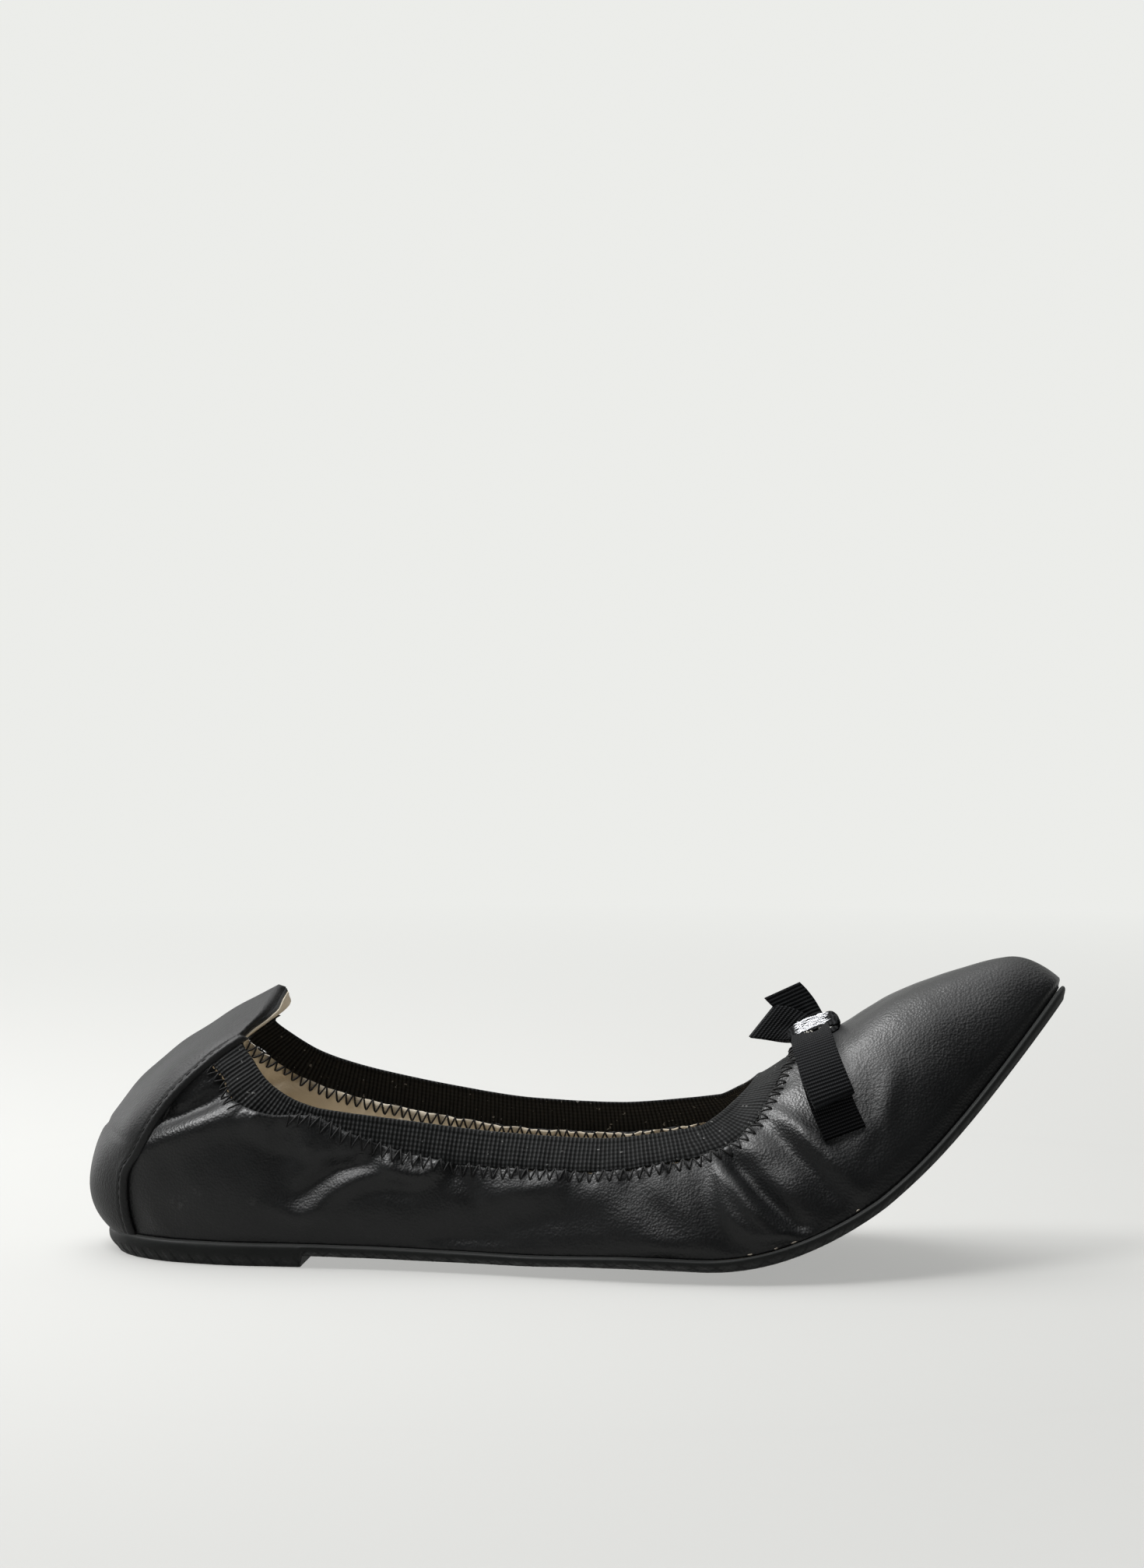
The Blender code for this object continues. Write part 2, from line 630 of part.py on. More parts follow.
def main():
    for obj in list(bpy.data.objects):
        bpy.data.objects.remove(obj, do_unlink=True)
    collection = bpy.data.collections.new("ballet_flat")
    bpy.context.scene.collection.children.link(collection)
    leather = material("black leather", (0.012, 0.012, 0.013), 0.38)
    rubber = material("black rubber", (0.018, 0.018, 0.019), 0.62)
    elastic = material("black elastic", (0.010, 0.010, 0.011), 0.85)
    insole = material("cream lining", (0.62, 0.52, 0.38), 0.7)
    ribbon = material("black grosgrain", (0.030, 0.032, 0.036), 0.75)
    make_outsole(rubber, collection)
    make_insole(insole, collection)
    make_upper(leather, collection)
    make_elastic(elastic, collection)
    make_heel_panel(leather, collection)
    make_ribbon("bow_loop_near", LOOP_NEAR, OUTER, ribbon, collection)
    make_ribbon("bow_tail_near", TAIL_NEAR, OUTER, ribbon, collection)
    make_ribbon("bow_loop_far", LOOP_FAR, INNER, ribbon, collection)
    make_ribbon("bow_tail_far", TAIL_FAR, INNER, ribbon, collection)
    make_knot(ribbon, collection)


main()
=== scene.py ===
"""Looks of the black ballet flat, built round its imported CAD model.

The sizes, tables and form functions are those of the part's source, repeated here because this script
reads nothing but the frame. Lengths are in metres unless a name says mm.
"""

import math
from collections import namedtuple

import bmesh
import bpy
import numpy as np
from mathutils import Matrix


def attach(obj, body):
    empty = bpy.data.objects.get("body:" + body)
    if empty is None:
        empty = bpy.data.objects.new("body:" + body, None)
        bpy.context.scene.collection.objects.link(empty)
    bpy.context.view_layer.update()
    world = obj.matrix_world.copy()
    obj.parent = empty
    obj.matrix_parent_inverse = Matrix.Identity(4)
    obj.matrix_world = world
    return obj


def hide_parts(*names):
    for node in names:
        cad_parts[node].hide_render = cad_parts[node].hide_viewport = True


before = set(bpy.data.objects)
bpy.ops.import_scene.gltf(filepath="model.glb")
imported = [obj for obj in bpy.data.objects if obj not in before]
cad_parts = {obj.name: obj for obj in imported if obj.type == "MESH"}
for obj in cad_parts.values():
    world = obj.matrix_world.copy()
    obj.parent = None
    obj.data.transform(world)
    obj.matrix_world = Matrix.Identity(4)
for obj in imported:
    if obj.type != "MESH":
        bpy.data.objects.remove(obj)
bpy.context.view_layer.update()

MM = 0.001


def table_of(kind, rows):
    """The rows of a table as named tuples of one kind."""
    return tuple(kind(*row) for row in rows)


# Driving sizes
SOLE_LENGTH = 248 * MM          # along the curve of the sole, heel to toe tip
BALL_WIDTH = 80 * MM            # outline of the upper at the ball, on the sole
LAST_HEIGHT = 38 * MM           # highest point of the vamp over the sole
TOE_SWING = 6 * MM              # the tip's shift to the inner side
HEEL_THICKNESS = 5.4 * MM
SOLE_THICKNESS = 2.8 * MM
HEEL_LENGTH = 49 * MM           # moulded heel, back edge to its step
HEEL_STEP_RUN = 0.5 * MM
SOLE_MARGIN = 0.9 * MM          # sole beyond the upper's foot
SOLE_ROUNDING = 2.4 * MM        # how far the sole's side slants in at the ground
CUP_HEIGHT = 24 * MM            # the upper's sides take up the sole's cupping within this height
WALL = 1.5 * MM                 # leather and lining together
INSOLE_THICKNESS = 1.6 * MM
PANEL_THICKNESS = 1.2 * MM      # heel panel with its tab
ELASTIC_WIDTH = 9.5 * MM
ELASTIC_THICKNESS = 1.0 * MM
RIBBON_WIDTH = 10 * MM
RIBBON_THICKNESS = 0.7 * MM
KNOT_LENGTH = 12.0 * MM         # along the shoe
KNOT_WIDTH = 7.0 * MM           # across it
GAP = 0.3 * MM                  # clearance between pieces that touch

# Curl of the sole by share of its length: degrees at the toe, relative weight at the waist
Curl = namedtuple("Curl", "share angle")
WAIST_CURL = table_of(Curl, ((0.20, 0.0), (0.28, 1.0), (0.42, 1.0), (0.50, 0.0)))
TOE_CURL = table_of(Curl, (
    (0.575, 0.0), (0.62, 11.0), (0.665, 23.0), (0.735, 34.0), (0.785, 41.0), (0.84, 48.0),
    (0.91, 52.0), (1.00, 54.0),
))

# Lift of the sole's edges round the flat middle of the ball, in shares of the ball's width
Cup = namedtuple("Cup", "share lift")
CUP = table_of(Cup, ((0.24, 0.0), (0.40, 0.014), (0.52, 0.030), (0.62, 0.026), (0.76, 0.0)))
CUP_START = 0.40                # share of the half width where the lift begins

# Half widths of the foot of the upper as shares of the ball's width, by share of length
Outline = namedtuple("Outline", "share outer inner")
OUTLINE = table_of(Outline, (
    (0.000, 0.000, 0.000), (0.010, 0.135, 0.135), (0.037, 0.245, 0.245), (0.080, 0.318, 0.312),
    (0.150, 0.356, 0.344), (0.240, 0.358, 0.336), (0.340, 0.388, 0.320), (0.440, 0.448, 0.338),
    (0.540, 0.500, 0.400), (0.620, 0.512, 0.452), (0.680, 0.497, 0.470), (0.740, 0.455, 0.440),
    (0.800, 0.390, 0.380), (0.860, 0.310, 0.300), (0.920, 0.219, 0.208), (0.960, 0.150, 0.142),
    (0.988, 0.080, 0.077), (1.000, 0.000, 0.000),
))

# The last, a row for each line that climbs from the sole to the top centre line. Lengths along the
# shoe (foot, top, lean) are shares of the sole's length, lengths across (swell, shoulder) of the
# ball's width, and heights (height, rise, drop) of the last's height.
Line = namedtuple("Line", "foot top height swell_out swell_in rise lean shoulder drop")
LAST = table_of(Line, (
    (0.000, 0.250, 1.72, 0.180, 0.180, 0.32, 0.232, 0.00, 0.56),
    (0.037, 0.262, 1.62, 0.085, 0.085, 0.37, 0.232, 0.47, 0.54),
    (0.090, 0.285, 1.50, 0.060, 0.065, 0.37, 0.180, 0.50, 0.48),
    (0.170, 0.330, 1.32, 0.050, 0.065, 0.32, 0.132, 0.48, 0.38),
    (0.265, 0.365, 1.18, 0.050, 0.080, 0.29, 0.064, 0.45, 0.27),
    (0.360, 0.420, 1.10, 0.050, 0.095, 0.29, 0.032, 0.42, 0.21),
    (0.460, 0.488, 1.07, 0.050, 0.080, 0.29, 0.012, 0.41, 0.16),
    (0.550, 0.560, 1.05, 0.045, 0.055, 0.31, 0.000, 0.39, 0.10),
    (0.620, 0.616, 1.02, 0.040, 0.045, 0.34, 0.000, 0.36, 0.05),
    (0.680, 0.676, 0.98, 0.030, 0.035, 0.38, 0.000, 0.33, 0.02),
    (0.744, 0.744, 0.98, 0.020, 0.022, 0.45, 0.000, 0.28, 0.00),
    (0.800, 0.812, 0.90, 0.015, 0.015, 0.45, 0.000, 0.24, 0.00),
    (0.860, 0.872, 0.78, 0.012, 0.012, 0.40, 0.000, 0.19, 0.00),
    (0.920, 0.924, 0.63, 0.012, 0.012, 0.33, 0.000, 0.13, 0.00),
    (0.960, 0.954, 0.53, 0.012, 0.012, 0.26, -0.004, 0.085, 0.01),
    (0.988, 0.974, 0.45, 0.014, 0.014, 0.20, -0.014, 0.040, 0.04),
    (1.000, 0.982, 0.41, 0.016, 0.016, 0.16, -0.026, 0.000, 0.10),
))

# Edge of the opening, from the tip of the heel tab to the throat: the line by the share of its foot,
# and the share of that line below the edge on either side
Edge = namedtuple("Edge", "foot outer inner")
TAB_EDGE = table_of(Edge, ((0.000, 0.870, 0.870), (0.020, 0.835, 0.840), (0.037, 0.780, 0.790)))
COLLAR_EDGE = table_of(Edge, (
    (0.037, 0.780, 0.790), (0.065, 0.740, 0.755), (0.110, 0.670, 0.710), (0.170, 0.634, 0.690),
    (0.265, 0.640, 0.680), (0.360, 0.640, 0.672), (0.460, 0.640, 0.675), (0.550, 0.680, 0.710),
    (0.617, 0.760, 0.785), (0.660, 0.845, 0.860), (0.685, 0.922, 0.928), (0.694, 1.000, 1.000),
))

# Side edge of the heel panel, from the sole up: share of the line climbed, share of its foot
PanelEdge = namedtuple("PanelEdge", "climb foot")
PANEL_EDGE = table_of(PanelEdge, ((0.0, 0.037), (0.36, 0.037), (0.60, 0.041), (0.90, 0.041)))

# Ribbons of the bow, each a path from the knot: the line of the last by the share of its foot, share
# of the line climbed, lift over the last in layers of ribbon with their gaps, share of the ribbon's
# full width, and its tilt out of the last's surface in degrees. The knot wraps layers 0 to 4.
Fold = namedtuple("Fold", "foot climb layer width tilt")
KNOT_FOOT = 0.785
LOOP_NEAR = table_of(Fold, (
    (KNOT_FOOT, 0.994, 1.7, 0.74, 0), (KNOT_FOOT, 0.945, 1.8, 0.76, 0),
    (0.784, 0.880, 3.4, 0.90, 0), (0.782, 0.740, 4.8, 0.98, 0), (0.778, 0.600, 4.6, 1.00, 0),
    (0.775, 0.490, 3.4, 1.00, 0), (0.774, 0.442, 2.2, 1.00, 0), (0.775, 0.490, 1.2, 1.00, 0),
    (0.778, 0.620, 1.1, 1.00, 0), (0.783, 0.800, 1.2, 0.95, 0), (KNOT_FOOT, 0.935, 1.0, 0.76, 0),
    (KNOT_FOOT, 0.994, 0.9, 0.74, 0),
))
TAIL_NEAR = table_of(Fold, (
    (KNOT_FOOT, 0.994, 0.1, 0.74, 0), (KNOT_FOOT, 0.935, 0.1, 0.76, 0),
    (0.782, 0.800, 0.1, 0.95, 0), (0.777, 0.600, 0.1, 1.00, 0), (0.771, 0.440, 0.2, 1.00, 0),
    (0.767, 0.310, 0.8, 1.00, 0),
))
LOOP_FAR = table_of(Fold, (
    (KNOT_FOOT, 0.994, 2.0, 0.66, 4), (0.773, 0.966, 2.8, 0.78, 14), (0.762, 0.948, 4.6, 0.90, 24),
    (0.751, 0.938, 7.0, 0.98, 30), (0.743, 0.930, 8.8, 0.98, 30), (0.7393, 0.914, 9.5, 0.98, 30),
    (0.743, 0.896, 8.8, 0.98, 30), (0.751, 0.886, 6.8, 0.98, 30), (0.762, 0.890, 4.0, 0.90, 22),
    (0.773, 0.920, 1.8, 0.80, 12), (KNOT_FOOT, 0.994, 1.0, 0.66, 4),
))
TAIL_FAR = table_of(Fold, (
    (KNOT_FOOT, 0.994, 3.0, 0.60, 0), (0.784, 0.955, 3.2, 0.66, 0), (0.7795, 0.932, 5.2, 0.76, 1),
    (0.775, 0.925, 8.2, 0.86, 2), (0.770, 0.922, 11.2, 0.92, 3), (0.7665, 0.920, 13.4, 0.92, 3),
))

OUTER, INNER = -1, 1
SIDES = (OUTER, INNER)
ORIGIN_ALONG = HEEL_LENGTH / 2
CORNER_STEP = 0.003             # stations between the tab's side and the first line of the collar


# Curves through tables


def station_of(share):
    """A station's place round the outline, 0 at the heel and 1 at the tip, from its share of length."""
    return np.arccos(np.clip(1 - 2 * np.asarray(share, float), -1, 1)) / math.pi


def share_of(station):
    return (1 - np.cos(math.pi * np.asarray(station, float))) / 2


def curve(knots, values, at):
    """A smooth curve through values at knots, read at the places given, with no overshoot."""
    knots, values, at = (np.asarray(v, float) for v in (knots, values, at))
    steps = np.diff(knots)
    slopes = np.diff(values) / steps
    tangents = np.empty_like(values)
    tangents[0], tangents[-1] = slopes[0], slopes[-1]
    same = slopes[:-1] * slopes[1:] > 0
    before, after = np.where(same, slopes[:-1], 1), np.where(same, slopes[1:], 1)
    w1, w2 = 2 * steps[1:] + steps[:-1], steps[1:] + 2 * steps[:-1]
    tangents[1:-1] = np.where(same, (w1 + w2) / (w1 / before + w2 / after), 0)
    at = np.clip(at, knots[0], knots[-1])
    i = np.clip(np.searchsorted(knots, at, side="right") - 1, 0, len(steps) - 1)
    t = (at - knots[i]) / steps[i]
    return (
        values[i] * (1 + 2 * t) * (1 - t) ** 2
        + values[i + 1] * t * t * (3 - 2 * t)
        + tangents[i] * steps[i] * t * (1 - t) ** 2
        - tangents[i + 1] * steps[i] * t * t * (1 - t)
    )


def column(table, name, station):
    """A column of a table, read at stations round the outline."""
    return curve(station_of([row[0] for row in table]), [getattr(row, name) for row in table], station)


def pick(side, outer, inner):
    return outer if side == OUTER else inner


# The bend of the sole


def spine_table(steps=500):
    """Place and angle of the top of the sole at even lengths, run on straight past both ends."""
    along = np.linspace(0, SOLE_LENGTH, steps + 1)
    share = along / SOLE_LENGTH
    step = SOLE_LENGTH / steps
    waist = curve([c.share for c in WAIST_CURL], [c.angle for c in WAIST_CURL], share)
    toe = np.radians(curve([c.share for c in TOE_CURL], [c.angle for c in TOE_CURL], share))
    fall = (HEEL_THICKNESS - SOLE_THICKNESS) / (((waist[1:] + waist[:-1]) / 2).sum() * step)
    angle = toe - waist * fall
    middle = (toe[1:] + toe[:-1]) / 2
    down = fall * (waist[1:] + waist[:-1]) / 2
    x = np.concatenate([[0], np.cumsum(np.cos(middle) * step)])
    z = HEEL_THICKNESS + np.concatenate([[0], np.cumsum((np.sin(middle) - down) * step)])
    run = SOLE_LENGTH / 10
    return (
        np.concatenate([[-run], along, [SOLE_LENGTH + run]]),
        np.concatenate([[-run], x, [x[-1] + run * math.cos(angle[-1])]]),
        np.concatenate([[HEEL_THICKNESS], z, [z[-1] + run * math.sin(angle[-1])]]),
        np.concatenate([[0], angle, [angle[-1]]]),
    )


SPINE = spine_table()


def cupping(along, across, up):
    """How far the sole's edge, and the foot of the upper on it, is lifted off the floor."""
    station = station_of(along / SOLE_LENGTH)
    lift = BALL_WIDTH * column(CUP, "lift", station)
    half = BALL_WIDTH * (column(OUTLINE, "outer", station) + column(OUTLINE, "inner", station)) / 2
    edge = np.clip((np.abs(across) / np.maximum(half, MM) - CUP_START) / (1 - CUP_START), 0, 1.1)
    return lift * edge * edge * np.clip(1 - up / CUP_HEIGHT, 0, 1.2)


def bend(along, across, up):
    """A point of the unbent shoe, in the shoe's own frame."""
    table_along, x, z, angle = SPINE
    up = up + cupping(along, across, up)
    turn = np.interp(along, table_along, angle)
    return np.stack([
        np.interp(along, table_along, x) - up * np.sin(turn) - ORIGIN_ALONG,
        across,
        np.interp(along, table_along, z) + up * np.cos(turn),
    ], -1)


def swing(along):
    """The centre line's shift to the inner side, which grows from the ball to the tip."""
    share = np.clip((np.asarray(along, float) / SOLE_LENGTH - 0.55) / 0.45, 0, 1)
    return TOE_SWING * share * share * (3 - 2 * share)


# The last


def outline(station, side):
    """The foot of the upper on the sole, along and across, and on round the other side past both ends."""
    folded = 1 - np.abs(1 - np.abs(station))
    beyond = (station < 0) | (station > 1)
    half = np.where(
        beyond,
        -BALL_WIDTH * column(OUTLINE, pick(side, "inner", "outer"), folded),
        BALL_WIDTH * column(OUTLINE, pick(side, "outer", "inner"), folded),
    )
    along = SOLE_LENGTH * share_of(folded)
    return along, side * half + swing(along)


def foot(station, side, margin=0.0):
    """The outline moved out by a margin, along and across, and its outward normal."""
    station = np.asarray(station, float)
    small = 1e-3
    along, across = outline(station, side)
    a0, c0 = outline(station - small, side)
    a1, c1 = outline(station + small, side)
    tangent = np.stack([a1 - a0, c1 - c0], -1)
    tangent /= np.linalg.norm(tangent, axis=-1, keepdims=True)
    normal = side * np.stack([-tangent[..., 1], tangent[..., 0]], -1)
    return along + normal[..., 0] * margin, across + normal[..., 1] * margin, normal


def last(station, climb, side):
    """A point on the outside of the upper: station round the outline, climb from the sole to the top."""
    station, climb = np.broadcast_arrays(np.asarray(station, float), np.asarray(climb, float))
    along, across, normal = foot(station, side)
    swell = BALL_WIDTH * column(LAST, pick(side, "swell_out", "swell_in"), station)
    rise = LAST_HEIGHT * column(LAST, "rise", station)
    top = SOLE_LENGTH * column(LAST, "top", station)
    height = LAST_HEIGHT * column(LAST, "height", station)
    lean = SOLE_LENGTH * column(LAST, "lean", station)
    shoulder = BALL_WIDTH * column(LAST, "shoulder", station)
    drop = LAST_HEIGHT * column(LAST, "drop", station)
    start = np.stack([along, across, np.full_like(along, GAP)], -1)
    low = start + np.stack([normal[..., 0] * swell, normal[..., 1] * swell, rise], -1)
    end = np.stack([top, swing(top), height], -1)
    high = end + np.stack([-lean, side * shoulder, -drop], -1)
    t = climb[..., None]
    point = start * (1 - t) ** 3 + 3 * low * t * (1 - t) ** 2 + 3 * high * t * t * (1 - t) + end * t ** 3
    return bend(point[..., 0], point[..., 1], point[..., 2])


def surface(station, climb, side):
    """Points of the last, their derivatives by station and by climb, and the outward normals."""
    small = 2e-3
    s0, s1 = np.clip(station - small, 0, 1), np.clip(station + small, 0, 1)
    c0, c1 = np.clip(climb - small, 0, 1), np.clip(climb + small, 0, 1)
    station, climb = np.broadcast_arrays(station, climb)
    by_station = (last(s1, climb, side) - last(s0, climb, side)) / (s1 - s0)[..., None]
    by_climb = (last(station, c1, side) - last(station, c0, side)) / (c1 - c0)[..., None]
    # The two sides meet squarely on the heel's centre line
    by_station = np.where((station <= 0)[..., None], by_station * np.array([0, 1, 0]), by_station)
    normal = side * np.cross(by_climb, by_station)
    return last(station, climb, side), by_station, by_climb, unit(normal)


def unit(vectors):
    return vectors / np.maximum(np.linalg.norm(vectors, axis=-1, keepdims=True), 1e-12)


def dot(a, b):
    return (a * b).sum(-1)


# The edge of the opening and the elastic below it


def tab_edge(station, side):
    """Climb of the heel tab's top edge."""
    return column(TAB_EDGE, pick(side, "outer", "inner"), station)


TAB_STATION = float(station_of(TAB_EDGE[-1].foot))


def collar_path(count, side):
    """Stations and climbs along the opening's edge, from the heel tab to the throat and closer there."""
    rows = np.linspace(0, 1, len(COLLAR_EDGE))
    fine = np.linspace(0, 1, 400)
    station = curve(rows, station_of([row.foot for row in COLLAR_EDGE]), fine)
    climb = curve(rows, [getattr(row, pick(side, "outer", "inner")) for row in COLLAR_EDGE], fine)
    points = last(station, climb, side)
    length = np.concatenate([[0], np.cumsum(np.linalg.norm(np.diff(points, axis=0), axis=1))])
    at = length[-1] * (1 - (1 - np.linspace(0, 1, count)) ** 1.5)
    return np.interp(at, length, station), np.interp(at, length, climb)


def band(count, widths, side):
    """Stations and climbs of lines that run beside the opening's edge, the given widths away from it."""
    station, climb = collar_path(count, side)
    lines, done, steps = [], 0.0, 6
    held = np.clip(np.arange(count) / (0.08 * count), 0, 1)
    for width in widths:
        step = (width - done) / steps
        for _ in range(steps if step else 0):
            points, by_station, by_climb, normal = surface(station, climb, side)
            away = unit(side * np.cross(normal, np.gradient(points, axis=0)))
            a, b, c = dot(by_station, by_station), dot(by_station, by_climb), dot(by_climb, by_climb)
            p, q = dot(by_station, away), dot(by_climb, away)
            scale = a * c - b * b
            # The band ends along a line of the last at the heel tab, and crosses the ridge at the throat
            turn, drop = (c * p - b * q) / scale, (a * q - b * p) / scale
            turn[0], drop[0] = 0, -1 / np.sqrt(c[0])
            turn[-1], drop[-1] = 1 / np.sqrt(a[-1]), 0
            station = station + held * step * turn
            climb = np.minimum(climb + step * drop, 1.0)
        done = width
        lines.append((station, climb))
    return lines


BAND_COUNT = 38
SEAM = {side: band(BAND_COUNT, [ELASTIC_WIDTH + GAP], side)[0] for side in SIDES}


def upper_edge(station, side):
    """Climb of the upper's top edge: the heel tab, the seam under the elastic, then the closed vamp."""
    seam_station, seam_climb = SEAM[side]
    order = np.argsort(seam_station)
    on_seam = np.interp(station, seam_station[order], seam_climb[order])
    apex = seam_station[-1]
    beyond = np.where(station < apex, on_seam, 1.0)
    return np.where(station <= TAB_STATION, tab_edge(station, side), beyond)


def smooth_path(points, samples):
    """Rows of numbers read along a smooth curve through all of them."""
    points = np.asarray(points, float)
    ends = np.concatenate([[2 * points[0] - points[1]], points, [2 * points[-1] - points[-2]]])
    rows = []
    for p0, p1, p2, p3 in zip(ends, ends[1:], ends[2:], ends[3:]):
        for t in np.linspace(0, 1, samples, endpoint=False):
            rows.append(
                p1 + (p2 - p0) * t / 2 + (2 * p0 - 5 * p1 + 4 * p2 - p3) * t * t / 2
                + (3 * p1 - p0 - 3 * p2 + p3) * t ** 3 / 2
            )
    return np.array(rows + [points[-1]])


def lift_of(layer):
    """Height over the last of the middle of a layer of ribbon."""
    return GAP + RIBBON_THICKNESS / 2 + layer * (RIBBON_THICKNESS + GAP)


# The leather's relief


# Each crease is a soft fold along a path seen from the side: height in mm, a trough below 0, half
# width in mm, and path points along and up in mm
Crease = namedtuple("Crease", "height width path")
OUTER_CREASES = table_of(Crease, (
    (1.8, 4.3, (
        (-15.0, 27.6), (-8.3, 30.5), (0.7, 33.6), (8.8, 35.3), (16.5, 36.4), (23.4, 35.1), (29.2, 32.3),
    )),
    (-3.3, 3.5, ((-15.0, 31.4), (-12.4, 32.6), (-3.1, 36.7), (4.1, 40.3), (7.7, 43.7))),
    (1.0, 1.4, ((-6.0, 37.2), (-3.2, 38.4), (1.0, 40.9), (5.2, 43.5))),
    (-1.4, 5.0, ((24.0, 31.6), (21.8, 26.0), (19.3, 18.8))),
    (-2.3, 3.3, ((25.0, 16.8), (31.7, 21.9), (38.0, 25.0), (48.4, 27.4))),
    (1.4, 3.0, ((25.5, 12.2), (31.8, 17.4), (37.9, 21.2), (45.8, 23.6), (54.0, 22.5))),
    (0.9, 1.9, ((44.0, 26.4), (47.0, 23.6), (53.0, 22.6), (59.4, 25.4))),
    (0.9, 2.7, ((17.0, 15.0), (24.0, 13.3), (31.5, 12.9))),
    (-1.0, 3.0, ((33.0, 16.4), (41.5, 19.4), (51.6, 19.0))),
    (0.8, 2.8, ((73.6, 18.8), (79.1, 20.4), (86.2, 22.6))),
    (-1.5, 5.2, ((56.0, 6.6), (70.4, 11.0), (81.6, 13.6), (97.0, 14.5))),
    (-0.8, 2.8, ((61.6, 24.6), (65.4, 18.2), (64.7, 11.9))),
    (2.0, 2.3, ((122.6, 26.6), (126.9, 22.4), (131.1, 17.4), (134.8, 14.3), (142.0, 10.4))),
    (1.0, 1.7, ((123.0, 24.0), (126.0, 16.7), (130.1, 12.8), (134.5, 11.2), (141.6, 10.4))),
    (-2.1, 2.5, ((125.0, 29.0), (128.4, 25.6), (134.6, 20.3), (139.6, 15.7), (145.6, 10.6))),
    (1.2, 2.3, ((131.6, 38.0), (139.1, 35.2), (144.4, 31.3), (150.6, 26.6), (156.0, 20.6))),
    (0.9, 2.2, ((121.6, 32.4), (127.6, 29.9), (134.6, 29.4))),
    (0.6, 3.0, ((105.4, 9.5), (111.6, 8.8), (118.4, 8.9))),
    (-0.8, 4.4, ((101.4, 21.4), (109.0, 17.0), (117.6, 12.0))),
    (-1.0, 3.0, ((119.0, 21.0), (123.5, 13.7), (128.4, 8.1))),
    (-0.9, 2.3, ((134.6, 33.8), (143.6, 26.1), (150.4, 19.6))),
    (-0.5, 2.2, ((157.0, 40.6), (159.2, 33.9), (156.4, 27.4))),
    (0.6, 2.7, ((161.8, 46.0), (160.4, 38.4), (157.0, 29.4))),
))
INNER_CREASES = table_of(Crease, (
    (-2.2, 3.0, ((-14.0, 31.0), (-3.0, 37.0), (6.0, 42.0))),
    (1.5, 2.6, ((-13.0, 28.0), (1.0, 33.5), (15.0, 37.5), (27.0, 36.0), (36.0, 33.0))),
    (-1.4, 2.2, ((27.0, 18.0), (36.0, 22.5), (46.0, 27.0))),
    (1.1, 2.1, ((22.0, 13.6), (33.0, 17.6), (46.0, 22.6))),
    (0.6, 1.8, ((56.0, 19.6), (63.0, 22.4), (71.0, 21.4))),
    (0.5, 2.4, ((86.0, 11.6), (96.0, 15.6), (107.0, 17.0))),
    (1.1, 1.9, ((116.0, 24.0), (124.0, 17.6), (133.0, 12.4))),
    (-1.1, 1.7, ((119.0, 26.0), (127.0, 20.6), (136.0, 15.0))),
    (0.8, 1.7, ((125.0, 29.4), (132.0, 25.6), (140.0, 19.6))),
    (-0.7, 2.4, ((138.0, 33.0), (145.0, 30.0), (151.0, 28.0))),
))

FOLD_STRENGTH = 1.2
FOLD_ROOT = 0.085               # climb at which the relief has its full height
TIP_STATION = 0.9985            # past it the normal is that of the line up the toe
STITCH_PITCH_MM = 2.5
LEATHER_THICKNESS = 0.8 * MM
LINING_GAP = 0.05 * MM
LINING_THICKNESS = 0.6 * MM

# Where the quarter's leather puffs up over the elastic: along the shoe in mm, share covered
Flap = namedtuple("Flap", "along cover")
FLAP = table_of(Flap, (
    (9.0, 0.0), (16.5, 0.34), (20.5, 0.60), (24.4, 0.72), (28.0, 0.63), (32.2, 0.50), (41.0, 0.32),
    (49.5, 0.17), (58.0, 0.07), (72.0, 0.0),
))
FLAP_PUFF_MM = 1.3
FLAP_FULL = 0.3                 # share of the elastic covered where the puff has its full height
FLAP_SOFTNESS = 0.07            # climb over which the puff rises

# Where the leather stands rounder than the plain last: height, centre along and up, reach along and up
Bulge = namedtuple("Bulge", "height along up reach_along reach_up")
BULGES = table_of(Bulge, (
    (0.3, -20.0, 41.0, 14.0, 13.0), (2.5, 162.0, 60.0, 19.0, 20.0), (0.6, 188.0, 68.0, 9.0, 12.0),
    (1.6, 200.0, 66.0, 6.0, 7.0),
))
RIDGE_MM, RIDGE_REACH_MM = 0.45, 4.5    # the vamp's sides stand out this much beyond its centre line
VAMP_FROM_MM, VAMP_RUN_MM = 146.0, 14.0 # where the wander calms down and the sides start to stand out
SIDES_BLEND_MM = 8.0                    # across which one side's creases give way to the other's

# Soft unevenness of the leather: height and wave length in mm, and a seed
Swell = namedtuple("Swell", "height length seed")
SWELLS = (Swell(0.28, 24.0, 3), Swell(0.10, 9.0, 5))
VAMP_CALM = 0.65                # share of it that the vamp is without

# Gathers beside the elastic: height and length in mm, and how far their phase drifts to and fro, in
# radians, over a length in mm
Gather = namedtuple("Gather", "height length drift drift_length")
FINE_GATHERS = (Gather(0.16, STITCH_PITCH_MM, 0.0, 11.0), Gather(0.34, 5.3, 1.9, 11.0))
BROAD_GATHERS = (Gather(0.38, 10.7, 1.2, 17.0),)
GATHER_REACH_MM, FINE_REACH_MM = 4.2, 3.0   # how far they reach from the seam


def smoothstep(value):
    value = np.clip(value, 0, 1)
    return value * value * (3 - 2 * value)


def hump(value, centre, reach):
    """1 at a centre, falling softly to 0 on both sides of it."""
    return np.exp(-((value - centre) / reach) ** 2)


